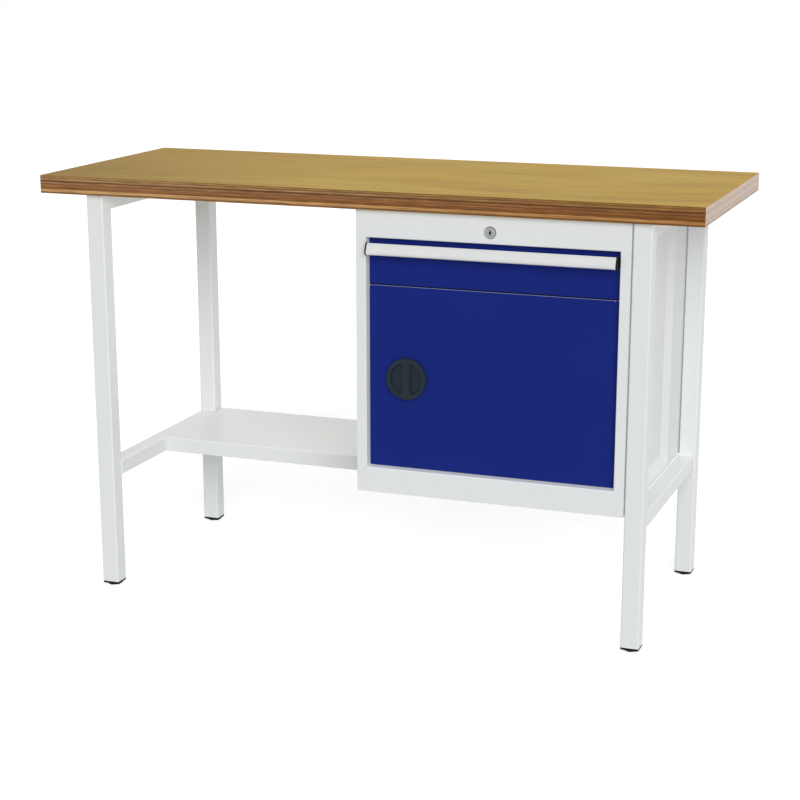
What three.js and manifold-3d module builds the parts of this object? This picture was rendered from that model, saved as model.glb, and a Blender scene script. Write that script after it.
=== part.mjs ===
// Workbench: a plywood worktop on two end frames of square tube, a folded sheet shelf at the left and
// a sheet steel cabinet at the right with one drawer above one hinged door.
// Millimetres, +Z up, the front faces -Y, the origin is on the floor under the middle of the bench.

import * as THREE from 'three';
import { ConvexGeometry } from 'three/addons/geometries/ConvexGeometry.js';
import { mergeVertices } from 'three/addons/utils/BufferGeometryUtils.js';
import Module from 'manifold-3d';

const wasm = await Module();
wasm.setup();

// Fits between pieces
const seat = 0.1; // paint film between faces that are bolted or welded together
const fit = 0.3; // round a shank, pin or plug, and at a seam between folded flanges
const running = 0.8; // between members that slide in each other
const overshoot = 2; // how far a cutting shape reaches past the face it opens
const weld = 1e-4; // corners closer than this are one corner

// Worktop
const topWidth = 1500;
const topDepth = 600;
const topThickness = 40;
const topArris = 1;

// End frames
const legTube = 40;
const legWall = 2;
const legCorner = 3;
const legLength = 908;
const endOverhang = 107.5;
const frontOverhang = 13;
const backOverhang = 11;
const railWidth = 38;
const railHeight = 35;
const railWall = 2;
const railInset = 4;

// Feet
const footDrop = 9;
const footFlange = 3.4;
const footPadRadius = 16;
const footPlug = 25;

// Fasteners
const screwRadius = 3;
const screwHeadRadius = 6.5;
const screwHeadCrown = 4.5;
const screwHeadHeight = 4;
const screwGrip = 26;
const screwSpread = 300;
const boltRadius = 4;
const boltHeadRadius = 7.5;
const boltHeadHeight = 5;
const boltReach = 14;
const boltMargin = 60;

// Shelf
const shelfDepth = 316;
const shelfOverlap = 40;

// Cabinet shell
const sheet = 1.5;
const cabWidth = 597;
const cabHeight = 619.5;
const legGap = 2.5;
const cabBackGap = 6;
const stileWidth = 22.5;
const topRailHeight = 60;
const bottomRailHeight = 55.5;
const revealDepth = 36;
const dishDepth = 12;
const dishSlope = 27;
const dishMargin = 6;
const dishWidth = 274;

// Fronts
const frontInset = 18;
const frontThickness = 18;
const frontCorner = 3;
const sideGap = 1.2;
const sillGap = 1.3;
const headGap = 2;
const drawerFrontHeight = 99.5;
const dividerThickness = 2;
const dividerGap = 0.5;
const dividerSetback = 1;

// Door furniture
const hingeInset = 12;
const hingeDepth = 4;
const hingePinRadius = 2;
const hingePinLength = 12;
const knobFromEdge = 86;
const knobRadius = 45;
const knobProud = 11;
const knobRim = 9.5;
const knobBar = 18.5;
const knobRecess = 8;
const knobEdge = 2;
const spindleSide = 8;
const latchThickness = 3;
const latchHub = 13;
const latchTip = 8;
const latchGap = 1;
const latchHook = 9.5;

// Drawer
const trayDepth = 450;
const trayFloor = 5;
const traySideDrop = 23;
const trayFrontDrop = 9;
const slideLength = 448;
const slideHeight = 45;
const slideWall = 1.5;
const slideFlange = 6;
const standoffLength = 180;
const standoffHeight = 30;
const handleDrop = 9;
const handleHeight = 25;
const handleNose = 4.5;
const handleTopReach = 25;
const handleReach = 35;
const handleWall = 2;
const handleLip = 6;
const handleWebDrop = 10;
const handleFlange = 10;
const handleInset = 1.8;
const handleCap = 3;

// Lock
const lockAboveOpening = 24;
const lockFlangeRadius = 13;
const lockFlangeHeight = 2;
const lockBarrelRadius = 9.5;
const lockBarrelLength = 36;
const lockPlugRadius = 5.5;
const lockPlugRecess = 0.5;
const lockCamGap = 3;
const lockCamThickness = 3;
const lockCamHub = 7;
const lockCamTip = 5.5;
const lockCamLength = 36;
const keySlotWidth = 1.9;
const keySlotHeight = 9;
const keySlotDepth = 8;

// Shelf inside the cabinet
const innerShelfLip = 20;
const innerShelfSetback = 55;
const ledgerLeg = 15;
const ledgerLength = 200;

// Levels and faces that several pieces share
const underTop = footDrop + legLength;
const legOuter = topWidth / 2 - endOverhang;
const legFront = frontOverhang - topDepth / 2;
const legBack = topDepth / 2 - backOverhang;
const railInner = legOuter - railInset - railWidth;
const railCentreY = (legFront + legBack) / 2;
const railLength = legBack - legFront - 2 * legTube - 2 * seat;
const cabBottom = underTop - seat - cabHeight;
const cabRight = legOuter - legTube - legGap;
const cabLeft = cabRight - cabWidth;
const cabDepth = legBack - legFront - cabBackGap;
const cabMiddleY = (sheet + cabDepth) / 2;
const shelfTop = cabBottom - seat;
const shelfLeft = seat - railInner;
const shelfRight = cabLeft + shelfOverlap;
const shelfFront = legBack - shelfDepth;
const boltRows = [shelfFront + boltMargin, legBack - boltMargin];
const sill = bottomRailHeight;
const head = cabHeight - topRailHeight;
const dishFace = dishDepth + sheet;
const frontWidth = cabWidth - 2 * stileWidth - 2 * sideGap;
const drawerBottom = head - headGap - drawerFrontHeight;
const dividerBottom = drawerBottom - dividerGap - dividerThickness;
const doorBottom = sill + sillGap;
const doorHeight = dividerBottom - dividerGap - doorBottom;
const handleTop = drawerFrontHeight - handleDrop;
const handleBottom = handleTop - handleHeight;
const handleNoseTop = handleBottom + handleNose;
const handleWeb = handleTop - handleWebDrop;
const trayFrontTop = drawerFrontHeight - trayFrontDrop;
const traySideTop = drawerFrontHeight - traySideDrop;
// Webs of the nested slide members, counted inwards from the edge of the opening
const slideFixed = running;
const slideMiddle = slideFixed + slideWall + running;
const slideStack = slideMiddle + 2 * slideWall + slideFlange;
const slideStart = revealDepth + running;
const slideCentre = (trayFloor + traySideTop) / 2;
// How far the handle or the worktop comes forward of the worktop's middle
const frontReach = Math.max(topDepth / 2, handleReach + seat - frontInset - legFront);

// Finishes
const wood = { color: 0xb2975a, roughness: 0.55, metalness: 0 };
const greyPaint = { color: 0xdcdedd, roughness: 0.4, metalness: 0.1 };
const bluePaint = { color: 0x1c2676, roughness: 0.4, metalness: 0.1 };
const paleAluminium = { color: 0xe2e3e2, roughness: 0.35, metalness: 0.3 };
const blackPlastic = { color: 0x14191e, roughness: 0.6, metalness: 0 };
const darkPlastic = { color: 0x2d343a, roughness: 0.55, metalness: 0 };
const zinc = { color: 0xb4b8ba, roughness: 0.35, metalness: 0.9 };
const nickel = { color: 0xc8cacb, roughness: 0.3, metalness: 0.9 };

// A closed geometry as a solid that can be cut and joined.
function solidOf(geometry) {
  const bare = geometry.clone();
  bare.deleteAttribute('normal');
  bare.deleteAttribute('uv');
  const merged = mergeVertices(bare, weld);
  const corners = merged.index.array;
  const triangles = [];
  for (let i = 0; i < corners.length; i += 3) {
    const [a, b, c] = corners.subarray(i, i + 3);
    if (a !== b && b !== c && c !== a) triangles.push(a, b, c);
  }
  const mesh = new wasm.Mesh({
    numProp: 3,
    vertProperties: new Float32Array(merged.attributes.position.array),
    triVerts: new Uint32Array(triangles),
  });
  return new wasm.Manifold(mesh);
}

// The surface of a solid as a geometry.
function geometryOf(solid) {
  const mesh = solid.getMesh();
  const geometry = new THREE.BufferGeometry();
  geometry.setAttribute('position', new THREE.BufferAttribute(mesh.vertProperties, 3));
  geometry.setIndex(new THREE.BufferAttribute(mesh.triVerts, 1));
  geometry.computeVertexNormals();
  return geometry;
}

function join(geometry, ...others) {
  const whole = others.reduce((solid, other) => solid.add(solidOf(other)), solidOf(geometry));
  return geometryOf(whole);
}

function cut(geometry, ...tools) {
  const rest = tools.reduce((solid, tool) => solid.subtract(solidOf(tool)), solidOf(geometry));
  return geometryOf(rest);
}

function piece(name, geometry, finish) {
  const mesh = new THREE.Mesh(geometry, new THREE.MeshStandardMaterial(finish));
  mesh.name = name;
  return mesh;
}

function groupAt(x, y, z) {
  const group = new THREE.Group();
  group.position.set(x, y, z);
  return group;
}

function block(x0, x1, y0, y1, z0, z1) {
  const box = new THREE.BoxGeometry(x1 - x0, y1 - y0, z1 - z0);
  return box.translate((x0 + x1) / 2, (y0 + y1) / 2, (z0 + z1) / 2);
}

function polygon(points) {
  return new THREE.Shape(points.map(([u, v]) => new THREE.Vector2(u, v)));
}

// A rectangle about the origin with rounded corners.
function roundedRectangle(width, height, radius) {
  const u = width / 2 - radius;
  const v = height / 2 - radius;
  const shape = new THREE.Shape();
  shape.absarc(u, v, radius, 0, Math.PI / 2);
  shape.absarc(-u, v, radius, Math.PI / 2, Math.PI);
  shape.absarc(-u, -v, radius, Math.PI, 1.5 * Math.PI);
  shape.absarc(u, -v, radius, 1.5 * Math.PI, 2 * Math.PI);
  return shape;
}

// The section of a square or oblong tube.
function tubeSection(width, height, wall, corner) {
  const section = roundedRectangle(width, height, corner);
  section.holes.push(roundedRectangle(width - 2 * wall, height - 2 * wall, corner - wall / 2));
  return section;
}

function extrude(shape, depth, curveSegments = 2) {
  return new THREE.ExtrudeGeometry(shape, { depth, curveSegments, bevelEnabled: false });
}

// A plate whose outline is drawn in X and Z and whose thickness runs along Y.
function plateXZ(shape, y0, y1, curveSegments) {
  return extrude(shape, y1 - y0, curveSegments).rotateX(Math.PI / 2).translate(0, y1, 0);
}

// A bar whose section is drawn in Y and Z and whose length runs along X.
function barYZ(shape, x0, x1) {
  const axes = new THREE.Matrix4().makeBasis(
    new THREE.Vector3(0, 1, 0),
    new THREE.Vector3(0, 0, 1),
    new THREE.Vector3(1, 0, 0),
  );
  return extrude(shape, x1 - x0).applyMatrix4(axes).translate(x0, 0, 0);
}

// A round bar along Z or Y.
function rodZ(radius, x, y, z0, z1, sides = 24) {
  const rod = new THREE.CylinderGeometry(radius, radius, z1 - z0, sides).rotateX(Math.PI / 2);
  return rod.translate(x, y, (z0 + z1) / 2);
}

function rodY(radius, x, z, y0, y1, sides = 32) {
  const rod = new THREE.CylinderGeometry(radius, radius, y1 - y0, sides);
  return rod.translate(x, (y0 + y1) / 2, z);
}

// A turned piece about Y from [radius, y] points that run towards +Y along its outside.
function turnedY(points, sides = 32) {
  return new THREE.LatheGeometry(points.map(([r, y]) => new THREE.Vector2(r, y)), sides);
}

// A wood screw along +Z: pan head below the seat at z = 0, pointed shank above it.
function screwGeometry(length) {
  const profile = [
    [0, -screwHeadHeight],
    [screwHeadCrown, -screwHeadHeight],
    [screwHeadRadius, -screwHeadHeight / 2],
    [screwHeadRadius, 0],
    [screwRadius, 0],
    [screwRadius, length - screwRadius],
    [0, length],
  ];
  return geometryOf(solidOf(turnedY(profile, 16).rotateX(Math.PI / 2)));
}

// A hexagon bolt along +Z: head below the seat at z = 0, shank above it.
function boltGeometry(length) {
  const hexagon = rodZ(boltHeadRadius, 0, 0, -boltHeadHeight, 0, 6);
  return join(hexagon, rodZ(boltRadius, 0, 0, -boltHeadHeight / 2, length, 16));
}

// Worktop, with blind holes for the screws that come up through the upper rails.
function makeWorktop(screwPlaces) {
  const outline = roundedRectangle(topWidth - 2 * topArris, topDepth - 2 * topArris, topArris);
  const slab = new THREE.ExtrudeGeometry(outline, {
    depth: topThickness - 2 * topArris,
    bevelThickness: topArris,
    bevelSize: topArris,
    bevelSegments: 1,
    curveSegments: 1,
  });
  slab.translate(0, 0, topArris);
  const holes = screwPlaces.map(([x, y]) =>
    rodZ(screwRadius + fit, x, y, -overshoot, screwGrip + overshoot, 16));
  const worktop = piece('worktop', cut(slab, ...holes), wood);
  worktop.position.z = underTop;
  return worktop;
}

// A leg tube on its plastic foot, about the leg's own axis.
function makeLeg(place, x, y) {
  const leg = groupAt(x, y, 0);
  const section = tubeSection(legTube, legTube, legWall, legCorner);
  const tube = piece(`leg_${place}`, geometryOf(solidOf(extrude(section, legLength - seat))), greyPaint);
  tube.position.z = footDrop;
  const flangeBottom = footDrop - footFlange;
  const flange = extrude(roundedRectangle(legTube, legTube, legCorner), footFlange - seat);
  const plugSide = legTube - 2 * legWall - 2 * fit;
  const plug = extrude(roundedRectangle(plugSide, plugSide, legCorner), footFlange + footPlug);
  const pad = rodZ(footPadRadius, 0, 0, 0, footDrop - footFlange / 2, 32);
  const foot = join(flange.translate(0, 0, flangeBottom), plug.translate(0, 0, flangeBottom), pad);
  leg.add(tube, piece(`foot_${place}`, foot, blackPlastic));
  return leg;
}

// A side rail between a front leg and a back leg, about the middle of its length.
function makeRail(name, drills) {
  const section = tubeSection(railWidth, railHeight, railWall, legCorner);
  const tube = plateXZ(section, -railLength / 2, railLength / 2, 2);
  return piece(name, cut(tube, ...drills), greyPaint);
}

// One end frame: two legs, an upper rail under the worktop and a lower rail level with the cabinet,
// which is drilled on its right for the shelf's bolts.
function makeEndFrame(side, sign, shelfBolts) {
  const frame = new THREE.Group();
  const legX = sign * (legOuter - legTube / 2);
  const railX = sign * (railInner + railWidth / 2);
  frame.add(makeLeg(`front_${side}`, legX, legFront + legTube / 2));
  frame.add(makeLeg(`back_${side}`, legX, legBack - legTube / 2));

  const rows = [-screwSpread / 2, screwSpread / 2];
  const screwHoles = rows.map((y) => rodZ(screwRadius + fit, 0, y, -railHeight, railHeight, 16));
  const upper = groupAt(railX, railCentreY, underTop - seat - railHeight / 2);
  upper.add(makeRail(`upper_rail_${side}`, screwHoles));
  rows.forEach((y, i) => {
    const screw = piece(`top_screw_${side}_${i + 1}`, screwGeometry(railHeight + screwGrip), zinc);
    screw.position.set(0, y, -railHeight / 2 - seat);
    upper.add(screw);
  });

  const lower = groupAt(railX, railCentreY, cabBottom - railHeight / 2);
  const boltHoles = shelfBolts.map((y) =>
    rodZ(boltRadius + fit, 0, 0, 0, railWidth, 16)
      .rotateY(Math.PI / 2)
      .translate(0, y - railCentreY, 0));
  lower.add(makeRail(`lower_rail_${side}`, boltHoles));
  frame.add(upper, lower);
  return frame;
}

// Shelf: a folded tray, lips down, from the left lower rail to under the cabinet.
function makeShelf() {
  const shelf = new THREE.Group();
  const low = shelfTop - railHeight;
  const tray = block(shelfLeft, shelfRight, shelfFront, legBack, low, shelfTop);
  const hollow = block(
    shelfLeft + sheet, shelfRight + overshoot,
    shelfFront + sheet, legBack - sheet,
    low - overshoot, shelfTop - sheet,
  );
  const railBoltZ = cabBottom - railHeight / 2;
  const cabBoltX = cabLeft + shelfOverlap / 2;
  const holes = boltRows.flatMap((y) => [
    rodZ(boltRadius + fit, 0, 0, -overshoot, sheet + overshoot, 16)
      .rotateY(Math.PI / 2)
      .translate(shelfLeft, y, railBoltZ),
    rodZ(boltRadius + fit, cabBoltX, y, shelfTop - sheet - overshoot, shelfTop + overshoot, 16),
  ]);
  shelf.add(piece('shelf', cut(tray, hollow, ...holes), greyPaint));
  boltRows.forEach((y, i) => {
    const railBolt = piece(`shelf_rail_bolt_${i + 1}`, boltGeometry(boltReach), zinc);
    railBolt.rotation.y = -Math.PI / 2;
    railBolt.position.set(shelfLeft + sheet + fit, y, railBoltZ);
    const cabBolt = piece(`shelf_cabinet_bolt_${i + 1}`, boltGeometry(boltReach), zinc);
    cabBolt.position.set(cabBoltX, y, shelfTop - sheet - seat);
    shelf.add(railBolt, cabBolt);
  });
  return shelf;
}

// A four-sided dish: the outline at the first x, a smaller one at the last, straight walls between.
function dishBody(xMouth, xEdge, xFloor) {
  const outline = (x, inset) => {
    const y = dishWidth / 2 - inset;
    const z = cabHeight / 2 - dishMargin - inset;
    return [[-y, -z], [y, -z], [y, z], [-y, z]].map(([dy, dz]) =>
      new THREE.Vector3(x, cabMiddleY + dy, cabHeight / 2 + dz));
  };
  return new ConvexGeometry([...outline(xMouth, 0), ...outline(xEdge, 0), ...outline(xFloor, dishSlope)]);
}

// A cabinet side: a flat sheet with a shallow dish pressed inwards.
function makeSide(side) {
  const x = (fromOutside) => (side === 'left' ? fromOutside : cabWidth - fromOutside);
  const slab = block(
    Math.min(x(0), x(sheet)), Math.max(x(0), x(sheet)),
    sheet + seat, cabDepth,
    0, cabHeight,
  );
  const pressed = join(slab, dishBody(x(0), x(sheet), x(dishFace)));
  const panel = cut(pressed, dishBody(x(-overshoot), x(0), x(dishDepth)));
  return piece(`cabinet_${side}_side`, panel, greyPaint);
}

// The front frame: two stiles and two rails of folded sheet, mitred at the corners of the opening.
function makeFaceFrame(lockX, lockZ) {
  const frame = new THREE.Group();
  const right = cabWidth - stileWidth;
  ['left', 'right'].forEach((side) => {
    const x = (fromOutside) => (side === 'left' ? fromOutside : cabWidth - fromOutside);
    const face = polygon([
      [x(0), sill - stileWidth + fit],
      [x(stileWidth), sill + fit],
      [x(stileWidth), head - fit],
      [x(0), head + stileWidth - fit],
    ]);
    const edges = [x(stileWidth - sheet), x(stileWidth)].sort((a, b) => a - b);
    const fold = block(edges[0], edges[1], 0, revealDepth, sill + fit, head - fit);
    frame.add(piece(`frame_${side}_stile`, join(plateXZ(face, 0, sheet), fold), greyPaint));
  });
  const bottomFace = polygon([
    [0, 0],
    [cabWidth, 0],
    [cabWidth, sill - stileWidth],
    [right, sill],
    [stileWidth, sill],
    [0, sill - stileWidth],
  ]);
  const bottomFold = block(stileWidth, right, 0, revealDepth, sill - sheet, sill);
  frame.add(piece('frame_bottom_rail', join(plateXZ(bottomFace, 0, sheet), bottomFold), greyPaint));
  const topFace = polygon([
    [0, cabHeight],
    [0, head + stileWidth],
    [stileWidth, head],
    [right, head],
    [cabWidth, head + stileWidth],
    [cabWidth, cabHeight],
  ]);
  const topFold = block(stileWidth, right, 0, revealDepth, head, head + sheet);
  const lockHole = rodY(lockBarrelRadius + fit, lockX, lockZ, -overshoot, sheet + overshoot);
  const topRail = cut(join(plateXZ(topFace, 0, sheet), topFold), lockHole);
  frame.add(piece('frame_top_rail', topRail, greyPaint));
  return frame;
}

// Bottom, top and back sheets of the cabinet.
function makeShell() {
  const shell = new THREE.Group();
  const inside = sheet + seat;
  const across = cabWidth - inside;
  const bottom = block(inside, across, inside, cabDepth, 0, sheet);
  const holes = boltRows.map((y) =>
    rodZ(boltRadius + fit, shelfOverlap / 2, y - legFront, -overshoot, sheet + overshoot, 16));
  shell.add(piece('cabinet_bottom', cut(bottom, ...holes), greyPaint));
  const roof = block(inside, across, inside, cabDepth, cabHeight - sheet, cabHeight);
  shell.add(piece('cabinet_roof', roof, greyPaint));
  const back = block(inside, across, cabDepth - sheet, cabDepth, inside, cabHeight - inside);
  shell.add(piece('cabinet_back', back, greyPaint));
  return shell;
}

// The sheet between drawer and door, narrow between the stiles and wide between the dished sides.
function makeDivider() {
  const near = frontInset + dividerSetback;
  const step = revealDepth + fit;
  const far = cabDepth - sheet - seat;
  const narrow = stileWidth + fit;
  const wide = dishFace + fit;
  const outline = polygon([
    [narrow, near],
    [cabWidth - narrow, near],
    [cabWidth - narrow, step],
    [cabWidth - wide, step],
    [cabWidth - wide, far],
    [wide, far],
    [wide, step],
    [narrow, step],
  ]);
  const divider = piece('divider', geometryOf(solidOf(extrude(outline, dividerThickness))), greyPaint);
  divider.position.z = dividerBottom;
  return divider;
}

// A shelf behind the door, lips down at front and back, on an angle ledger at each side.
function makeInnerShelf() {
  const shelf = new THREE.Group();
  const level = (sheet + dividerBottom) / 2;
  const near = innerShelfSetback;
  const far = cabDepth - sheet - running;
  const left = dishFace + running;
  const low = level + seat + sheet - innerShelfLip;
  const high = level + seat + sheet;
  const folded = block(left, cabWidth - left, near, far, low, high);
  const hollow = block(0, cabWidth, near + sheet, far - sheet, low - overshoot, high - sheet);
  shelf.add(piece('inner_shelf', cut(folded, hollow), greyPaint));
  ['left', 'right'].forEach((side) => {
    const x = (fromOutside) => (side === 'left' ? fromOutside : cabWidth - fromOutside);
    const wall = dishFace + seat;
    const angle = polygon([
      [x(wall), level - ledgerLeg],
      [x(wall + sheet), level - ledgerLeg],
      [x(wall + sheet), level - sheet],
      [x(wall + ledgerLeg), level - sheet],
      [x(wall + ledgerLeg), level],
      [x(wall), level],
    ]);
    const ledger = plateXZ(angle, cabMiddleY - ledgerLength / 2, cabMiddleY + ledgerLength / 2);
    shelf.add(piece(`inner_shelf_ledger_${side}`, geometryOf(solidOf(ledger)), greyPaint));
  });
  return shelf;
}

// A folded sheet front, from its lower left corner: a skin with a return on each edge, open behind.
function frontPan(width, height) {
  const outline = roundedRectangle(width, height, frontCorner);
  const slab = plateXZ(outline, 0, frontThickness).translate(width / 2, 0, height / 2);
  const hollow = block(
    sheet, width - sheet,
    sheet, frontThickness + overshoot,
    sheet, height - sheet,
  );
  return cut(slab, hollow);
}

// A flat plate with round ends about two centres on a line, drawn in X and Z.
function leverShape(radius0, radius1, dx, dz) {
  const direction = Math.atan2(dz, dx);
  const lean = Math.acos((radius0 - radius1) / Math.hypot(dx, dz));
  const shape = new THREE.Shape();
  shape.absarc(0, 0, radius0, direction + lean, direction - lean + 2 * Math.PI);
  shape.absarc(dx, dz, radius1, direction - lean, direction + lean);
  return shape;
}

// The finger recess at one side of the grip bar: an arc closed by its chord.
function gripRecess(sign) {
  const radius = knobRadius - knobRim;
  const spread = Math.acos(knobBar / 2 / radius);
  const middle = sign > 0 ? 0 : Math.PI;
  const shape = new THREE.Shape();
  shape.absarc(0, 0, radius, middle - spread, middle + spread);
  return plateXZ(shape, -knobProud - overshoot, knobRecess - knobProud, 12);
}

// The rotary handle and its latch, about the point where its axis meets the door's face.
function makeKnob(x, z) {
  const knob = groupAt(x, 0, z);
  const disc = turnedY([
    [0, -knobProud],
    [knobRadius - knobEdge, -knobProud],
    [knobRadius, knobEdge - knobProud],
    [knobRadius, -fit],
    [0, -fit],
  ], 64);
  knob.add(piece('door_knob', cut(disc, gripRecess(1), gripRecess(-1)), darkPlastic));
  const latchFront = revealDepth - frontInset + latchGap;
  const latchBack = latchFront + latchThickness;
  const half = spindleSide / 2;
  const spindle = block(-half, half, seat - fit, latchBack, -half, half);
  const reach = sideGap + knobFromEdge + latchHook - latchTip;
  const lever = plateXZ(leverShape(latchHub, latchTip, 0, -reach), latchFront, latchBack, 8);
  knob.add(piece('latch_bar', join(spindle, lever), zinc));
  return knob;
}

// The door, from its lower left corner, with its holes for the hinge pins and the spindle.
function makeDoor() {
  const door = groupAt(stileWidth + sideGap, frontInset, doorBottom);
  const hingeX = frontWidth - hingeInset;
  const pinHole = (z) => rodZ(hingePinRadius + fit, hingeX, hingeDepth, z - overshoot, z + overshoot, 16);
  const knobZ = doorHeight / 2;
  const spindleRadius = spindleSide * Math.SQRT1_2;
  const spindleHole = rodY(spindleRadius + fit, knobFromEdge, knobZ, -overshoot, sheet + overshoot);
  const panel = cut(frontPan(frontWidth, doorHeight), pinHole(0), pinHole(doorHeight), spindleHole);
  door.add(piece('door_panel', panel, bluePaint));
  door.add(makeKnob(knobFromEdge, knobZ));
  return door;
}

// The two pins that the door turns on, one on the sill and one under the divider.
function makeHingePins() {
  const pins = groupAt(cabWidth - stileWidth - sideGap - hingeInset, frontInset + hingeDepth, 0);
  const lower = rodZ(hingePinRadius, 0, 0, sill + seat, sill + seat + hingePinLength, 16);
  const upper = rodZ(hingePinRadius, 0, 0, dividerBottom - seat - hingePinLength, dividerBottom - seat, 16);
  pins.add(piece('hinge_pin_lower', geometryOf(solidOf(lower)), zinc));
  pins.add(piece('hinge_pin_upper', geometryOf(solidOf(upper)), zinc));
  return pins;
}

// The outline of a channel in X and Z that opens away from its web.
function channelShape(x, web, mouth, height) {
  const inner = web + Math.sign(mouth - web) * slideWall;
  const half = height / 2;
  return polygon([
    [x(web), -half],
    [x(mouth), -half],
    [x(mouth), slideWall - half],
    [x(inner), slideWall - half],
    [x(inner), half - slideWall],
    [x(mouth), half - slideWall],
    [x(mouth), half],
    [x(web), half],
  ]);
}

// A drawer slide at one side: fixed, middle and inner member.
function makeSlide(side) {
  const slide = groupAt(0, slideStart, drawerBottom + slideCentre);
  const x = (inwards) => (side === 'left' ? stileWidth + inwards : cabWidth - stileWidth - inwards);
  const step = 2 * slideWall + 2 * running;
  const channel = (web, mouth, height) => plateXZ(channelShape(x, web, mouth, height), 0, slideLength);
  const fixed = channel(slideFixed, slideFixed + slideWall + slideFlange, slideHeight);
  const wall = [x(dishFace + seat - stileWidth), x(slideFixed + slideWall / 2)].sort((a, b) => a - b);
  const middleY = cabMiddleY - slideStart;
  const standoff = block(
    wall[0], wall[1],
    middleY - standoffLength / 2, middleY + standoffLength / 2,
    -standoffHeight / 2, standoffHeight / 2,
  );
  slide.add(piece(`slide_fixed_${side}`, join(fixed, standoff), zinc));
  const middle = channel(slideMiddle, slideMiddle + slideWall + slideFlange - running, slideHeight - step);
  slide.add(piece(`slide_middle_${side}`, geometryOf(solidOf(middle)), zinc));
  const inner = channel(slideStack, slideMiddle + slideWall + running, slideHeight - 2 * step);
  slide.add(piece(`slide_inner_${side}`, geometryOf(solidOf(inner)), zinc));
  return slide;
}

// The handle's section in Y and Z: a flange on the drawer, a web that comes forward from it, and on the
// web a leaning plate with a rounded nose and a lip turned in.
function handleSection() {
  const half = handleNose / 2;
  const behindPlate = (z) => {
    const share = (handleTop - z) / (handleTop - handleNoseTop);
    return handleWall - handleTopReach - share * (handleReach - handleTopReach);
  };
  return polygon([
    [0, handleWeb],
    [behindPlate(handleWeb), handleWeb],
    [handleWall - handleTopReach, handleTop],
    [-handleTopReach, handleTop],
    [-handleReach, handleNoseTop],
    [-handleReach, handleNoseTop - half],
    [half - handleReach, handleBottom],
    [handleLip - handleReach, handleBottom],
    [handleLip - handleReach, handleBottom + handleWall],
    [half + handleWall / 2 - handleReach, handleBottom + handleWall],
    [handleWall - handleReach, handleNoseTop - half + handleWall / 2],
    [handleWall - handleReach, handleNoseTop],
    [behindPlate(handleWeb - handleWall), handleWeb - handleWall],
    [-handleWall, handleWeb - handleWall],
    [-handleWall, handleWeb - handleFlange],
    [0, handleWeb - handleFlange],
  ]);
}

// The closed outline of an end cap over the handle's section.
function handleCapSection() {
  return polygon([
    [0, handleWeb],
    [handleWall - handleTopReach, handleTop],
    [-handleTopReach, handleTop],
    [-handleReach, handleNoseTop],
    [-handleReach, handleNoseTop - handleNose / 2],
    [handleNose / 2 - handleReach, handleBottom],
    [handleLip - handleReach, handleBottom],
    [0, handleWeb - handleFlange],
  ]);
}

// The drawer, from the lower left corner of its front.
function makeDrawer() {
  const drawer = groupAt(stileWidth + sideGap, frontInset, drawerBottom);
  drawer.add(piece('drawer_front', frontPan(frontWidth, drawerFrontHeight), bluePaint));

  const near = frontThickness + seat;
  const far = near + trayDepth;
  const left = slideStack + seat - sideGap;
  const right = frontWidth - left;
  const floor = trayFloor + sheet;
  const between = [left + sheet + seat, right - sheet - seat];
  const front = block(...between, near, near + sheet, trayFloor, trayFrontTop);
  const base = block(...between, near + sheet + seat, far - sheet - seat, trayFloor, floor);
  const rear = block(...between, far - sheet, far, trayFloor, traySideTop);
  drawer.add(piece('drawer_inner_front', front, greyPaint));
  drawer.add(piece('drawer_base', base, greyPaint));
  drawer.add(piece('drawer_back', rear, greyPaint));
  const leftSide = block(left, left + sheet, near, far, trayFloor, traySideTop);
  const rightSide = block(right - sheet, right, near, far, trayFloor, traySideTop);
  drawer.add(piece('drawer_left_side', leftSide, greyPaint));
  drawer.add(piece('drawer_right_side', rightSide, greyPaint));

  const handle = groupAt(0, -seat, 0);
  const ends = [handleInset + handleCap, frontWidth - handleInset - handleCap];
  const strip = barYZ(handleSection(), ends[0] + seat, ends[1] - seat);
  handle.add(piece('drawer_handle', geometryOf(solidOf(strip)), paleAluminium));
  const leftCap = barYZ(handleCapSection(), handleInset, ends[0]);
  const rightCap = barYZ(handleCapSection(), ends[1], frontWidth - handleInset);
  handle.add(piece('handle_cap_left', geometryOf(solidOf(leftCap)), blackPlastic));
  handle.add(piece('handle_cap_right', geometryOf(solidOf(rightCap)), blackPlastic));
  drawer.add(handle);
  return drawer;
}

// The cylinder lock in the top rail, about its axis at the face of the frame.
function makeLock(x, z) {
  const lock = groupAt(x, 0, z);
  const bore = lockPlugRadius + fit;
  const body = turnedY([
    [bore, -lockFlangeHeight],
    [lockFlangeRadius - lockFlangeHeight / 2, -lockFlangeHeight],
    [lockFlangeRadius, -lockFlangeHeight / 2],
    [lockFlangeRadius, -seat],
    [lockBarrelRadius, -seat],
    [lockBarrelRadius, lockBarrelLength],
    [bore, lockBarrelLength],
    [bore, -lockFlangeHeight],
  ]);
  lock.add(piece('lock_body', geometryOf(solidOf(body)), nickel));
  const plugFront = lockPlugRecess - lockFlangeHeight;
  const plugBack = lockBarrelLength + lockCamGap;
  const slot = block(
    -keySlotWidth / 2, keySlotWidth / 2,
    plugFront - overshoot, plugFront + keySlotDepth,
    -keySlotHeight / 2, keySlotHeight / 2,
  );
  const plug = cut(rodY(lockPlugRadius, 0, 0, plugFront, plugBack), slot);
  lock.add(piece('lock_plug', plug, nickel));
  const lever = leverShape(lockCamHub, lockCamTip, lockCamLength - lockCamTip, 0);
  const camFront = plugBack + seat;
  const cam = plateXZ(lever, camFront, camFront + lockCamThickness, 6);
  lock.add(piece('lock_cam', geometryOf(solidOf(cam)), zinc));
  return lock;
}

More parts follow.
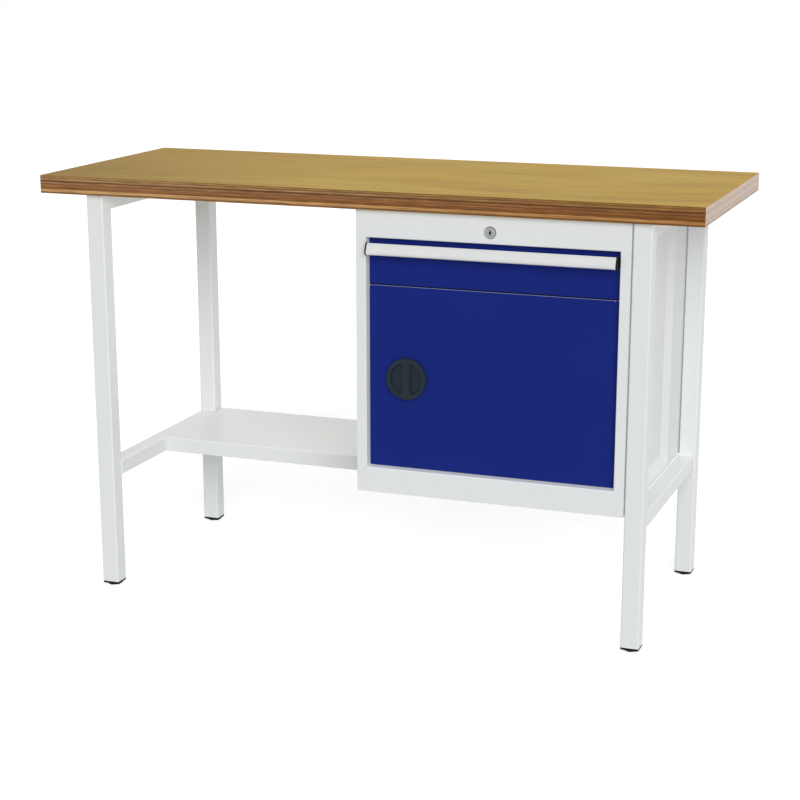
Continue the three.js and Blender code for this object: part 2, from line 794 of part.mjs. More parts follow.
function makeCabinet() {
  const cabinet = groupAt(cabLeft, legFront, cabBottom);
  const lockX = cabWidth / 2;
  const lockZ = head + lockAboveOpening;
  cabinet.add(makeSide('left'), makeSide('right'), makeShell(), makeFaceFrame(lockX, lockZ));
  cabinet.add(makeDivider(), makeInnerShelf(), makeHingePins());
  cabinet.add(makeSlide('left'), makeSlide('right'));
  cabinet.add(makeDrawer(), makeDoor(), makeLock(lockX, lockZ));
  return cabinet;
}

const screwPlaces = [-1, 1].flatMap((sign) => [-1, 1].map((end) => [
  sign * (railInner + railWidth / 2),
  railCentreY + end * screwSpread / 2,
]));

const bench = groupAt(0, (frontReach - topDepth / 2) / 2, 0);
bench.add(makeWorktop(screwPlaces), makeEndFrame('left', -1, boltRows), makeEndFrame('right', 1, []));
bench.add(makeShelf(), makeCabinet());

export default bench;
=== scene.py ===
import math

import bmesh
import bpy
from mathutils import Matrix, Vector


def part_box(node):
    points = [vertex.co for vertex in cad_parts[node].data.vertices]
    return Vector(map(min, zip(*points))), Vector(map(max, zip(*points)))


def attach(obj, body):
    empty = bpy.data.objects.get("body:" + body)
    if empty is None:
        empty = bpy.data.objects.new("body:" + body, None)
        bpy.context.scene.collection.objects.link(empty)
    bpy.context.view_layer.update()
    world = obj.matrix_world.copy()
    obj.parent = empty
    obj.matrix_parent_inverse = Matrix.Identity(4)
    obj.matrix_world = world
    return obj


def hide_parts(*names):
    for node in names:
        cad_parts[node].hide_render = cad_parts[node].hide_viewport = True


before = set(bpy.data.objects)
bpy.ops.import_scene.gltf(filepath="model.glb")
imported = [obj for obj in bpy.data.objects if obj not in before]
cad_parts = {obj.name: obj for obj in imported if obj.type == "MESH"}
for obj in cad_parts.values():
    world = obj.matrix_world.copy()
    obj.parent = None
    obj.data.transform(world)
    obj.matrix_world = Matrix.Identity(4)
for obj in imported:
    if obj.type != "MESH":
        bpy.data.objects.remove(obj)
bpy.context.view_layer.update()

# Workbench: plywood top on square tube legs, sheet shelf at the left, steel cabinet at the right.
# Metres, +X right, +Y back, +Z up, as in the frame.

scene = bpy.context.scene
corners = ("front_left", "front_right", "back_left", "back_right")
sides = ("left", "right")


# Outlines and rings

def span(node):
    low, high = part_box(node)
    return low, high, (low + high) / 2


def arcPoints(centre, start, sweep, radius, segments):
    points = []
    for i in range(segments + 1):
        angle = start + sweep * i / segments
        points.append(centre + radius * Vector((math.cos(angle), math.sin(angle))))
    return points


def bendAt(here, back, ahead, radius):
    # centre, first angle and sweep of the arc that rounds a corner
    toBack, toAhead = (back - here).normalized(), (ahead - here).normalized()
    half = toBack.angle(toAhead) / 2
    centre = here + (toBack + toAhead).normalized() * radius / math.sin(half)
    first = here + toBack * radius / math.tan(half) - centre
    last = here + toAhead * radius / math.tan(half) - centre
    sweep = math.atan2(first.x * last.y - first.y * last.x, first.dot(last))
    return centre, math.atan2(first.y, first.x), sweep


def roundedOutline(cornerList, segments=5):
    # closed outline from (u, v, radius) corners
    outline = []
    count = len(cornerList)
    for i, (u, v, radius) in enumerate(cornerList):
        here = Vector((u, v))
        if radius <= 0:
            outline.append(here)
            continue
        back = Vector(cornerList[i - 1][:2])
        ahead = Vector(cornerList[(i + 1) % count][:2])
        centre, start, sweep = bendAt(here, back, ahead, radius)
        outline += arcPoints(centre, start, sweep, radius, segments)
    return outline


def foldedOutline(path, thickness, radius, segments=6):
    # section of a folded sheet: path is one face, the sheet lies on its left
    points = [Vector(p) for p in path]
    near, far = [], []
    for i, here in enumerate(points):
        if 0 < i < len(points) - 1:
            back, ahead = points[i - 1], points[i + 1]
            turn = (here - back).cross(ahead - here)
            nearRadius = radius + thickness if turn > 0 else radius
            farRadius = radius if turn > 0 else radius + thickness
            centre, start, sweep = bendAt(here, back, ahead, nearRadius)
            near += arcPoints(centre, start, sweep, nearRadius, segments)
            far += arcPoints(centre, start, sweep, farRadius, segments)
        else:
            along = points[1] - points[0] if i == 0 else points[-1] - points[-2]
            left = Vector((-along.y, along.x)).normalized()
            near.append(here)
            far.append(here + left * thickness)
    return near + far[::-1]


def rectangleRing(width, height, radius, segments, place):
    # rounded rectangle about the middle, place turns (u, v) into a point
    ring = []
    for cornerU, cornerV, start in ((1, 1, 0), (-1, 1, 90), (-1, -1, 180), (1, -1, 270)):
        middle = Vector((cornerU * (width / 2 - radius), cornerV * (height / 2 - radius)))
        for p in arcPoints(middle, math.radians(start), math.pi / 2, radius, segments):
            ring.append(place(p.x, p.y))
    return ring


def circleRing(radius, sidesCount, place):
    ring = []
    for i in range(sidesCount):
        angle = 2 * math.pi * i / sidesCount
        ring.append(place(radius * math.cos(angle), radius * math.sin(angle)))
    return ring


# Meshes

def addPiece(name, verts, faces):
    mesh = bpy.data.meshes.new(name)
    mesh.from_pydata([tuple(v) for v in verts], [], faces)
    bm = bmesh.new()
    bm.from_mesh(mesh)
    bmesh.ops.remove_doubles(bm, verts=bm.verts, dist=1e-7)
    bmesh.ops.recalc_face_normals(bm, faces=bm.faces)
    bm.to_mesh(mesh)
    bm.free()
    piece = bpy.data.objects.new(name, mesh)
    scene.collection.objects.link(piece)
    return piece


def loft(name, rings, closed=False):
    count = len(rings[0])
    verts = [p for ring in rings for p in ring]
    faces = []
    for r in range(len(rings) if closed else len(rings) - 1):
        a = r * count
        b = (r + 1) % len(rings) * count
        for i in range(count):
            j = (i + 1) % count
            faces.append((a + i, a + j, b + j, b + i))
    if not closed:
        faces.append(tuple(reversed(range(count))))
        faces.append(tuple(range(len(verts) - count, len(verts))))
    return addPiece(name, verts, faces)


def barX(name, outline, x0, x1):
    # outline in (y, z)
    return loft(name, [[Vector((x, p.x, p.y)) for p in outline] for x in (x0, x1)])


def barY(name, outline, y0, y1):
    # outline in (x, z)
    return loft(name, [[Vector((p.x, y, p.y)) for p in outline] for y in (y0, y1)])


def barZ(name, outline, z0, z1):
    # outline in (x, y)
    return loft(name, [[Vector((p.x, p.y, z)) for p in outline] for z in (z0, z1)])


def turned(name, profile, sidesCount, place):
    # profile of (radius, height) pairs, place turns (u, v, height) into a point
    rings = []
    for radius, height in profile:
        rings.append(circleRing(radius, sidesCount, lambda u, v: place(u, v, height)))
    return loft(name, rings)


def trimmed(piece, point, normal):
    # cuts away what lies on the normal's side of a plane and closes the cut
    bm = bmesh.new()
    bm.from_mesh(piece.data)
    everything = bm.verts[:] + bm.edges[:] + bm.faces[:]
    cutResult = bmesh.ops.bisect_plane(
        bm, geom=everything, plane_co=point, plane_no=normal, clear_outer=True)
    rim = [e for e in cutResult["geom_cut"] if isinstance(e, bmesh.types.BMEdge)]
    bmesh.ops.edgenet_fill(bm, edges=rim)
    bmesh.ops.recalc_face_normals(bm, faces=bm.faces)
    bm.to_mesh(piece.data)
    bm.free()
    return piece


def drilled(piece, cutter):
    # takes one closed mesh out of another, then drops the cutter
    tool = piece.modifiers.new("drill", "BOOLEAN")
    tool.object = cutter
    tool.solver = "EXACT"
    bpy.context.view_layer.update()
    graph = bpy.context.evaluated_depsgraph_get()
    result = bpy.data.meshes.new_from_object(piece.evaluated_get(graph))
    piece.modifiers.remove(tool)
    old = piece.data
    piece.data = result
    bpy.data.meshes.remove(old)
    bpy.data.objects.remove(cutter)
    return piece


def bored(piece, centre, axis, radius, length):
    # round hole through a piece
    turn = Vector((0, 0, 1)).rotation_difference(Vector(axis)).to_matrix()
    rings = []
    for height in (-length / 2, length / 2):
        rings.append(circleRing(radius, 24, lambda u, v: centre + turn @ Vector((u, v, height))))
    return drilled(piece, loft("borer", rings))


def soften(piece, width, angle=40, segments=3):
    # eased edges, with the flats kept flat
    if width > 0:
        ease = piece.modifiers.new("ease", "BEVEL")
        ease.width = width
        ease.segments = segments
        ease.limit_method = "ANGLE"
        ease.angle_limit = math.radians(angle)
        ease.use_clamp_overlap = True
    piece.data.polygons.foreach_set("use_smooth", [True] * len(piece.data.polygons))
    piece.data.set_sharp_from_angle(angle=math.radians(angle if width <= 0 else 179))
    flats = piece.modifiers.new("flats", "WEIGHTED_NORMAL")
    flats.keep_sharp = True
    flats.weight = 100
    return piece


def settle(piece, body, slot, finish, replaced=(), ease=0.0003, angle=40):
    # finish, edges, body, slot and the frame nodes that the piece stands for
    for one in finish if isinstance(finish, (list, tuple)) else [finish]:
        piece.data.materials.append(one)
    soften(piece, ease, angle)
    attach(piece, body)
    if replaced:
        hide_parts(*replaced)
    return piece


# Node helpers for the finishes

def newFinish(name):
    finish = bpy.data.materials.new(name)
    finish.use_nodes = True
    return finish, finish.node_tree, finish.node_tree.nodes["Principled BSDF"]


def addNode(tree, kind, **inputs):
    node = tree.nodes.new(kind)
    for key, value in inputs.items():
        node.inputs[key].default_value = value
    return node


def linear(red, green, blue):
    # screen colour, 0 to 255, as light
    def channel(value):
        part = value / 255
        return part / 12.92 if part <= 0.04045 else ((part + 0.055) / 1.055) ** 2.4
    return (channel(red), channel(green), channel(blue), 1.0)


def placeAt(tree, scale):
    where = tree.nodes.new("ShaderNodeTexCoord")
    stretch = tree.nodes.new("ShaderNodeMapping")
    stretch.inputs["Scale"].default_value = scale
    tree.links.new(where.outputs["Object"], stretch.inputs["Vector"])
    return stretch.outputs["Vector"]


def noiseAt(tree, scale, size, detail=3.0, roughness=0.5):
    noise = addNode(tree, "ShaderNodeTexNoise", Scale=size, Detail=detail, Roughness=roughness)
    tree.links.new(placeAt(tree, scale), noise.inputs["Vector"])
    return noise.outputs["Fac"]


def remap(tree, source, fromLow, fromHigh, toLow, toHigh):
    node = tree.nodes.new("ShaderNodeMapRange")
    for key, value in zip((1, 2, 3, 4), (fromLow, fromHigh, toLow, toHigh)):
        node.inputs[key].default_value = value
    tree.links.new(source, node.inputs[0])
    return node.outputs[0]


def blendColours(tree, factor, first, second, way="MIX"):
    node = tree.nodes.new("ShaderNodeMix")
    node.data_type = "RGBA"
    node.blend_type = way
    for socket, value in ((node.inputs[6], first), (node.inputs[7], second)):
        if isinstance(value, tuple):
            socket.default_value = value
        else:
            tree.links.new(value, socket)
    if isinstance(factor, float):
        node.inputs[0].default_value = factor
    else:
        tree.links.new(factor, node.inputs[0])
    return node.outputs[2]


def addBump(tree, shader, height, strength, distance):
    bump = addNode(tree, "ShaderNodeBump", Strength=strength, Distance=distance)
    tree.links.new(height, bump.inputs["Height"])
    tree.links.new(bump.outputs["Normal"], shader.inputs["Normal"])


def ramp(tree, source, stops):
    node = tree.nodes.new("ShaderNodeValToRGB")
    while len(node.color_ramp.elements) < len(stops):
        node.color_ramp.elements.new(0.5)
    for element, (position, colour) in zip(node.color_ramp.elements, stops):
        element.position = position
        element.color = colour
    tree.links.new(source, node.inputs["Fac"])
    return node.outputs["Color"]


# Finishes

def powderCoat(name, paint):
    finish, tree, shader = newFinish(name)
    cloud = noiseAt(tree, (1, 1, 1), paint["cloudSize"], 2.0)
    handled = noiseAt(tree, (1, 1, 1), paint["markSize"], 1.0, 0.4)
    tone = remap(tree, cloud, 0.1, 0.9, 0.0, 1.0)
    base = blendColours(tree, tone, paint["shade"], paint["light"])
    marks = remap(tree, handled, 0.0, 1.0, 0.0, paint["markStrength"])
    colour = blendColours(tree, marks, base, paint["mark"])
    tree.links.new(colour, shader.inputs["Base Color"])
    grain = noiseAt(tree, (1, 1, 1), paint["peelSize"], 2.0)
    gloss = remap(tree, handled, 0.0, 1.0, paint["roughness"] - 0.04, paint["roughness"] + 0.06)
    tree.links.new(gloss, shader.inputs["Roughness"])
    shader.inputs["Specular IOR Level"].default_value = paint["specular"]
    addBump(tree, shader, grain, paint["peel"], 0.0002)
    return finish


greyPaintLook = {
    "light": linear(221, 224, 224),
    "shade": linear(217, 220, 220),
    "mark": linear(208, 210, 210),
    "markStrength": 0.12,
    "cloudSize": 2.5,
    "markSize": 5.0,
    "peelSize": 900.0,
    "peel": 0.10,
    "roughness": 0.30,
    "specular": 0.5,
}
bluePaintLook = {
    "light": linear(25, 40, 119),
    "shade": linear(22, 36, 111),
    "mark": linear(28, 43, 122),
    "markStrength": 0.12,
    "cloudSize": 3.0,
    "markSize": 6.0,
    "peelSize": 1000.0,
    "peel": 0.12,
    "roughness": 0.45,
    "specular": 0.05,
}
# pale blue for the divider's lip: painted reflection of the blue fronts' light on its edge
lipReflectionPaintLook = dict(
    greyPaintLook, light=linear(152, 163, 224), shade=linear(147, 158, 219), mark=linear(140, 150, 210))
greyPaint = powderCoat("greyPaint", greyPaintLook)
lipReflectionPaint = powderCoat("lipReflectionPaint", lipReflectionPaintLook)
bluePaint = powderCoat("bluePaint", bluePaintLook)

oiledTopLook = {
    "light": linear(192, 158, 76),
    "middle": linear(180, 146, 67),
    "dark": linear(150, 118, 60),
    "pore": linear(120, 90, 46),
    "core": linear(96, 66, 34),
    "olive": linear(177, 155, 77),
    "end": linear(136, 108, 50),
    "roughness": 0.5,
    "knots": [  # place on the top, reach along and across the grain, darkness of core and halo
        {"x": -0.542, "y": -0.203, "along": 0.030, "across": 0.012, "core": 0.55, "halo": 0.25},
        {"x": 0.310, "y": -0.040, "along": 0.110, "across": 0.030, "core": 0.30, "halo": 0.14},
        {"x": 0.313, "y": -0.180, "along": 0.090, "across": 0.024, "core": 0.22, "halo": 0.10},
        {"x": -0.120, "y": 0.170, "along": 0.060, "across": 0.018, "core": 0.25, "halo": 0.11},
        {"x": 0.290, "y": -0.200, "along": 0.110, "across": 0.035, "core": 0.0, "halo": 0.36},
        {"x": 0.370, "y": 0.180, "along": 0.120, "across": 0.130, "core": 0.0, "halo": 0.22},
    ],
    "bend": 0.02,
}


def knotField(tree, knot, reach):
    # 1 at the middle of a knot, falling to 0 at its reach
    where = tree.nodes.new("ShaderNodeTexCoord")
    offset = tree.nodes.new("ShaderNodeVectorMath")
    offset.operation = "SUBTRACT"
    offset.inputs[1].default_value = (knot["x"], knot["y"], 0.0)
    stretch = tree.nodes.new("ShaderNodeVectorMath")
    stretch.operation = "MULTIPLY"
    stretch.inputs[1].default_value = (1 / (knot["along"] * reach), 1 / (knot["across"] * reach), 0.0)
    far = tree.nodes.new("ShaderNodeVectorMath")
    far.operation = "LENGTH"
    tree.links.new(where.outputs["Object"], offset.inputs[0])
    tree.links.new(offset.outputs[0], stretch.inputs[0])
    tree.links.new(stretch.outputs[0], far.inputs[0])
    field = remap(tree, far.outputs["Value"], 0.0, 1.0, 1.0, 0.0)
    field.node.interpolation_type = "SMOOTHSTEP"
    return field


def grainAt(tree, bend, scale, size, detail, roughness, lean=0.0):
    # noise drawn out along the grain, which swerves by the bend and may lean across the slab
    where = tree.nodes.new("ShaderNodeTexCoord")
    swerve = tree.nodes.new("ShaderNodeCombineXYZ")
    tree.links.new(bend, swerve.inputs["Y"])
    moved = tree.nodes.new("ShaderNodeVectorMath")
    tree.links.new(where.outputs["Object"], moved.inputs[0])
    tree.links.new(swerve.outputs[0], moved.inputs[1])
    drawn = tree.nodes.new("ShaderNodeVectorMath")
    drawn.operation = "MULTIPLY"
    drawn.inputs[1].default_value = scale
    leaning = addNode(tree, "ShaderNodeVectorRotate", Angle=math.radians(lean))
    leaning.rotation_type = "Z_AXIS"
    tree.links.new(moved.outputs[0], leaning.inputs["Vector"])
    tree.links.new(leaning.outputs[0], drawn.inputs[0])
    noise = addNode(tree, "ShaderNodeTexNoise", Scale=size, Detail=detail, Roughness=roughness)
    tree.links.new(drawn.outputs[0], noise.inputs["Vector"])
    return noise.outputs["Fac"]


def oiledTop():
    finish, tree, shader = newFinish("oiledTop")
    bend = None
    for knot in oiledTopLook["knots"]:
        field = remap(tree, knotField(tree, knot, 2.6), 0.0, 1.0, 0.0, oiledTopLook["bend"])
        if bend is not None:
            total = tree.nodes.new("ShaderNodeMath")
            tree.links.new(bend, total.inputs[0])
            tree.links.new(field, total.inputs[1])
            field = total.outputs[0]
        bend = field
    drift = grainAt(tree, bend, (0.9, 4.0, 1.0), 1.8, 3.0, 0.5)
    blotch = grainAt(tree, bend, (2.2, 5.5, 1.0), 1.7, 2.0, 0.45, lean=14.0)
    figure = grainAt(tree, bend, (1.7, 11.0, 1.0), 1.6, 3.0, 0.5, lean=-9.0)
    streak = grainAt(tree, bend, (2.2, 60.0, 1.0), 1.6, 4.0, 0.6)
    fine = grainAt(tree, bend, (10.0, 900.0, 1.0), 1.0, 3.0, 0.5)
    base = blendColours(tree, remap(tree, drift, 0.32, 0.68, 0.0, 1.0),
                        oiledTopLook["middle"], oiledTopLook["light"])
    base = blendColours(tree, remap(tree, blotch, 0.42, 0.66, 0.0, 0.6), base, oiledTopLook["olive"])
    base = blendColours(tree, remap(tree, figure, 0.46, 0.74, 0.0, 0.45), base, oiledTopLook["dark"])
    base = blendColours(tree, remap(tree, streak, 0.5, 0.75, 0.0, 0.16), base, oiledTopLook["dark"])
    base = blendColours(tree, remap(tree, fine, 0.62, 0.75, 0.0, 0.22), base, oiledTopLook["pore"])
    where = tree.nodes.new("ShaderNodeTexCoord")
    parts = tree.nodes.new("ShaderNodeSeparateXYZ")
    tree.links.new(where.outputs["Object"], parts.inputs[0])
    # darker towards the left end, more so at the front: partly the veneer's own tone, partly painted shade
    leftEnd = remap(tree, parts.outputs["X"], -0.05, -0.7, 0.0, 0.8)
    nearer = remap(tree, parts.outputs["Y"], -0.2, 0.3, 1.0, 0.55)
    deeper = tree.nodes.new("ShaderNodeMath")
    deeper.operation = "MULTIPLY"
    tree.links.new(leftEnd, deeper.inputs[0])
    tree.links.new(nearer, deeper.inputs[1])
    base = blendColours(tree, deeper.outputs[0], base, oiledTopLook["end"])
    for knot in oiledTopLook["knots"]:
        halo = remap(tree, knotField(tree, knot, 1.6), 0.0, 1.0, 0.0, knot["halo"])
        base = blendColours(tree, halo, base, oiledTopLook["dark"])
        core = remap(tree, knotField(tree, knot, 0.45), 0.0, 1.0, 0.0, knot["core"])
        base = blendColours(tree, core, base, oiledTopLook["core"])
    tree.links.new(base, shader.inputs["Base Color"])
    rough = remap(tree, streak, 0.3, 0.7, oiledTopLook["roughness"], oiledTopLook["roughness"] + 0.12)
    tree.links.new(rough, shader.inputs["Roughness"])
    shader.inputs["Specular IOR Level"].default_value = 0.06
    addBump(tree, shader, fine, 0.15, 0.0002)
    return finish


# plies at the worktop's edges: where each ply starts, as a share of the thickness, and its colour
plyLook = {
    "X": [
        (0.000, linear(138, 101, 60)),
        (0.055, linear(122, 86, 52)),
        (0.105, linear(189, 148, 99)),
        (0.165, linear(197, 154, 104)),
        (0.255, linear(126, 84, 50)),
        (0.350, linear(138, 96, 58)),
        (0.430, linear(150, 107, 68)),
        (0.500, linear(108, 72, 41)),
        (0.545, linear(149, 109, 74)),
        (0.650, linear(105, 72, 43)),
        (0.735, linear(143, 110, 72)),
        (0.760, linear(170, 136, 98)),
        (0.815, linear(143, 110, 72)),
        (0.850, linear(129, 95, 58)),
        (0.890, linear(161, 129, 84)),
        (0.945, linear(138, 104, 61)),
    ],
    # end edges (the Y entries here and below): paler copies of the long edges' plies, painted light standing
    # in for the light that washes the ends
    "Y": [
        (0.00, linear(167, 146, 127)),
        (0.05, linear(197, 177, 162)),
        (0.09, linear(175, 154, 138)),
        (0.125, linear(205, 185, 170)),
        (0.27, linear(183, 162, 147)),
        (0.32, linear(208, 188, 174)),
        (0.50, linear(213, 193, 178)),
        (0.54, linear(209, 189, 175)),
        (0.62, linear(190, 169, 155)),
        (0.70, linear(205, 185, 172)),
        (0.80, linear(210, 190, 175)),
        (0.86, linear(213, 193, 174)),
        (0.95, linear(195, 167, 131)),
    ],
    "deep": linear(225, 207, 178),
    "blur": 0.004,
    "waver": 0.009,
    "streak": {"X": 0.60, "Y": 0.30},
    "fleck": {"X": 0.30, "Y": 0.07},
    "grain": {"X": linear(70, 40, 20), "Y": linear(150, 128, 112)},
    "patch": {"X": linear(168, 126, 84), "Y": linear(222, 206, 194)},
}


def plyEdge(name, along):
    # along is the axis that the edge runs on
    finish, tree, shader = newFinish(name)
    low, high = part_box("worktop")
    where = tree.nodes.new("ShaderNodeTexCoord")
    parts = tree.nodes.new("ShaderNodeSeparateXYZ")
    tree.links.new(where.outputs["Object"], parts.inputs[0])
    level = remap(tree, parts.outputs["Z"], low.z, high.z, 0.0, 1.0)

    def drawn(run, across, size, detail, roughness):
        # noise drawn out along the edge
        scale = (run, 60.0, across) if along == "X" else (60.0, run, across)
        return noiseAt(tree, scale, size, detail, roughness)

    waver = remap(tree, drawn(2.5, 40.0, 1.0, 3.0, 0.5), 0.25, 0.75, -plyLook["waver"], plyLook["waver"])
    shifted = tree.nodes.new("ShaderNodeMath")
    tree.links.new(level, shifted.inputs[0])
    tree.links.new(waver, shifted.inputs[1])
    stops = []
    plies = plyLook[along]
    for i, (start, colour) in enumerate(plies):
        end = plies[i + 1][0] if i + 1 < len(plies) else 1.0
        stops += [(start + plyLook["blur"], colour), (end - plyLook["blur"], colour)]
    bands = ramp(tree, shifted.outputs[0], stops)
    patch = drawn(5.0, 170.0, 1.0, 3.0, 0.55)
    bands = blendColours(tree, remap(tree, patch, 0.5, 0.75, 0.0, 0.4), bands, plyLook["patch"][along])
    grain = drawn(7.0, 900.0, 1.0, 4.0, 0.6)
    streaks = remap(tree, grain, 0.49, 0.70, 0.0, plyLook["streak"][along])
    colour = blendColours(tree, streaks, bands, plyLook["grain"][along])
    swing = plyLook["fleck"][along]
    fleck = remap(tree, drawn(20.0, 430.0, 1.0, 2.0, 0.55), 0.32, 0.68, 1.0 + swing, 1.0 - swing)
    colour = blendColours(tree, 1.0, colour, fleck, "MULTIPLY")
    if along == "X":  # deeper brown towards the right end
        deeper = remap(tree, parts.outputs["X"], -0.65, 0.65, 0.0, 1.0)
        colour = blendColours(tree, deeper, colour, plyLook["deep"], "MULTIPLY")
    tree.links.new(colour, shader.inputs["Base Color"])
    shader.inputs["Roughness"].default_value = 0.55
    shader.inputs["Specular IOR Level"].default_value = 0.2
    addBump(tree, shader, grain, 0.25, 0.0003)
    return finish


def mouldedPlastic(name, look):
    finish, tree, shader = newFinish(name)
    cloud = noiseAt(tree, (1, 1, 1), 60.0, 3.0)
    tree.links.new(blendColours(tree, cloud, look["shade"], look["light"]), shader.inputs["Base Color"])
    grain = noiseAt(tree, (1, 1, 1), look["grainSize"], 2.0)
    rough = remap(tree, cloud, 0.3, 0.7, look["roughness"] - 0.05, look["roughness"] + 0.05)
    tree.links.new(rough, shader.inputs["Roughness"])
    shader.inputs["Specular IOR Level"].default_value = look["specular"]
    addBump(tree, shader, grain, 0.25, 0.0001)
    return finish


blackPlasticLook = {
    "light": linear(16, 19, 23),
    "shade": linear(10, 12, 15),
    "grainSize": 2500.0,
    "roughness": 0.5,
    "specular": 0.15,
}
darkPlasticLook = {
    "light": linear(37, 46, 55),
    "shade": linear(31, 39, 47),
    "grainSize": 2200.0,
    "roughness": 0.5,
    "specular": 0.12,
}
blackPlastic = mouldedPlastic("blackPlastic", blackPlasticLook)
darkPlastic = mouldedPlastic("darkPlastic", darkPlasticLook)


def metal(name, look):
    finish, tree, shader = newFinish(name)
    lines = noiseAt(tree, look["stretch"], 1.0, 4.0, 0.6)
    cloud = noiseAt(tree, (1, 1, 1), 30.0, 3.0)
    colour = blendColours(tree, remap(tree, cloud, 0.3, 0.7, 0.0, 1.0), look["shade"], look["light"])
    tree.links.new(colour, shader.inputs["Base Color"])
    shader.inputs["Metallic"].default_value = look["metallic"]
    rough = remap(tree, lines, 0.3, 0.7, look["roughness"] - 0.05, look["roughness"] + 0.08)
    tree.links.new(rough, shader.inputs["Roughness"])
    addBump(tree, shader, lines, look["brush"], 0.0001)
    return finish


zincLook = {
    "light": linear(205, 207, 208),
    "shade": linear(182, 186, 190),
    "stretch": (250.0, 25.0, 250.0),
    "metallic": 1.0,
    "roughness": 0.32,
    "brush": 0.1,
}
# darker metal for the lock's rim and groove: painted shade
grooveShadeLook = {
    "light": linear(92, 94, 94),
    "shade": linear(78, 80, 80),
    "stretch": (150.0, 150.0, 150.0),
    "metallic": 0.6,
    "roughness": 0.45,
    "brush": 0.04,
}
nickelLook = {
    "light": linear(174, 176, 175),
    "shade": linear(163, 165, 165),
    "stretch": (150.0, 150.0, 150.0),
    "metallic": 1.0,
    "roughness": 0.2,
    "brush": 0.04,
}
handleLook = {
    "light": linear(216, 218, 217),
    "shade": linear(211, 213, 212),
    "stretch": (3.0, 900.0, 900.0),
    "metallic": 0.35,
    "roughness": 0.34,
    "brush": 0.06,
}
zinc = metal("zinc", zincLook)
nickel = metal("nickel", nickelLook)
groove = metal("grooveShade", grooveShadeLook)
paleAluminium = metal("paleAluminium", handleLook)
greySteel = ("bench", "grey_paint", greyPaint)  # body, slot and finish
blackMoulding = ("bench", "black_plastic", blackPlastic)
print("finishes made")


# Worktop: a slab of plies whose edges show a fine line at each glue joint

worktopSize = {
    "corner": 0.0012,
    "arris": 0.0010,
    "glueDepth": 0.00012,
    "glueWidth": 0.00035,
    "cornerSegments": 4,
}


def makeWorktop():
    low, high, middle = span("worktop")
    thickness = high.z - low.z
    arris = worktopSize["arris"]
    steps = [(arris, 0.0), (arris * 0.3, arris * 0.3), (0.0, arris)]  # inset, height
    for ply in plyLook["X"]:
        joint = ply[0] * thickness
        if arris * 2 < joint < thickness - arris * 2:
            half = worktopSize["glueWidth"] / 2
            steps += [(0.0, joint - half), (worktopSize["glueDepth"], joint), (0.0, joint + half)]
    steps += [(0.0, thickness - arris), (arris * 0.3, thickness - arris * 0.3), (arris, thickness)]
    rings = []
    for inset, height in steps:
        rings.append(rectangleRing(
            high.x - low.x - 2 * inset, high.y - low.y - 2 * inset, worktopSize["corner"],
            worktopSize["cornerSegments"],
            lambda u, v: Vector((middle.x + u, middle.y + v, low.z + height))))
    slab = loft("worktopSlab", rings)
    for face in slab.data.polygons:
        normal = face.normal
        if arris * 0.4 < face.center.z - low.z < thickness - arris * 0.4:
            face.material_index = 2 if abs(normal.x) > abs(normal.y) else 1
    # the end edges' finish is paler than the long edges': painted light
    finishes = [oiledTop(), plyEdge("plyLongEdge", "X"), plyEdge("plyEndEdge", "Y")]
    settle(slab, "bench", "worktop_wood", finishes, ["worktop"], ease=0.0)


makeWorktop()
print("worktop made")


# End frames

tubeSize = {"legWall": 0.002, "corner": 0.0034, "segments": 6}
footSize = {
    "drop": 0.009,
    "flange": 0.0046,
    "corner": 0.0034,
    "ease": 0.0006,
    "plugInset": 0.0023,
    "padReach": 0.0186,
}


def squareTube(name, width, height, wall, place, ends):
    # place turns (u, v, along) into a point
    rings = []
    corner = tubeSize["corner"]
    for shrink, along in ((0, ends[0]), (0, ends[1]), (wall, ends[1]), (wall, ends[0])):
        rings.append(rectangleRing(
            width - 2 * shrink, height - 2 * shrink, max(corner - shrink, 0.0012), tubeSize["segments"],
            lambda u, v: place(u, v, along)))
    return loft(name, rings, closed=True)


def makeLegs():
    for corner in corners:
        low, high, middle = span("leg_" + corner)
        tube = squareTube(
            "leg." + corner, high.x - low.x, high.y - low.y, tubeSize["legWall"],
            lambda u, v, along: Vector((middle.x + u, middle.y + v, along)), (low.z, high.z))
        settle(tube, *greySteel, ["leg_" + corner])


def makeFeet():
    for corner in corners:
        low, high, middle = span("foot_" + corner)
        legSide = high.x - low.x
        ease = footSize["ease"]
        drop = footSize["drop"] - 0.0001
        flangeFoot = drop - footSize["flange"]
        steps = [  # inset, height
            (ease, flangeFoot),
            (ease * 0.3, flangeFoot + ease * 0.3),
            (0.0, flangeFoot + ease),
            (0.0, drop - ease),
            (ease * 0.3, drop - ease * 0.3),
            (ease, drop),
            (footSize["plugInset"], drop),
            (footSize["plugInset"], high.z - 2 * ease),
            (footSize["plugInset"] + 2 * ease, high.z),
        ]
        rings = []
        for inset, height in steps:
            side = legSide - 2 * inset
            rings.append(rectangleRing(
                side, side, footSize["corner"], 6,
                lambda u, v: Vector((middle.x + u, middle.y + v, low.z + height))))
        settle(loft("foot." + corner, rings), *blackMoulding,
               ["foot_" + corner], ease=0.0, angle=50)
        pad = footSize["padReach"]
        steps = [  # reach of the six corners, height
            (pad - 2.0 * ease, 0.0),
            (pad - 0.9 * ease, ease * 0.2),
            (pad - 0.2 * ease, ease * 0.9),
            (pad, ease * 2.0),
            (pad, flangeFoot + ease * 0.5),
        ]
        rings = []
        for reach, height in steps:
            rings.append(circleRing(
                reach, 6, lambda u, v: Vector((middle.x + v, middle.y + u, low.z + height))))
        settle(loft("footPad." + corner, rings), *blackMoulding, ease=0.0004, angle=50)


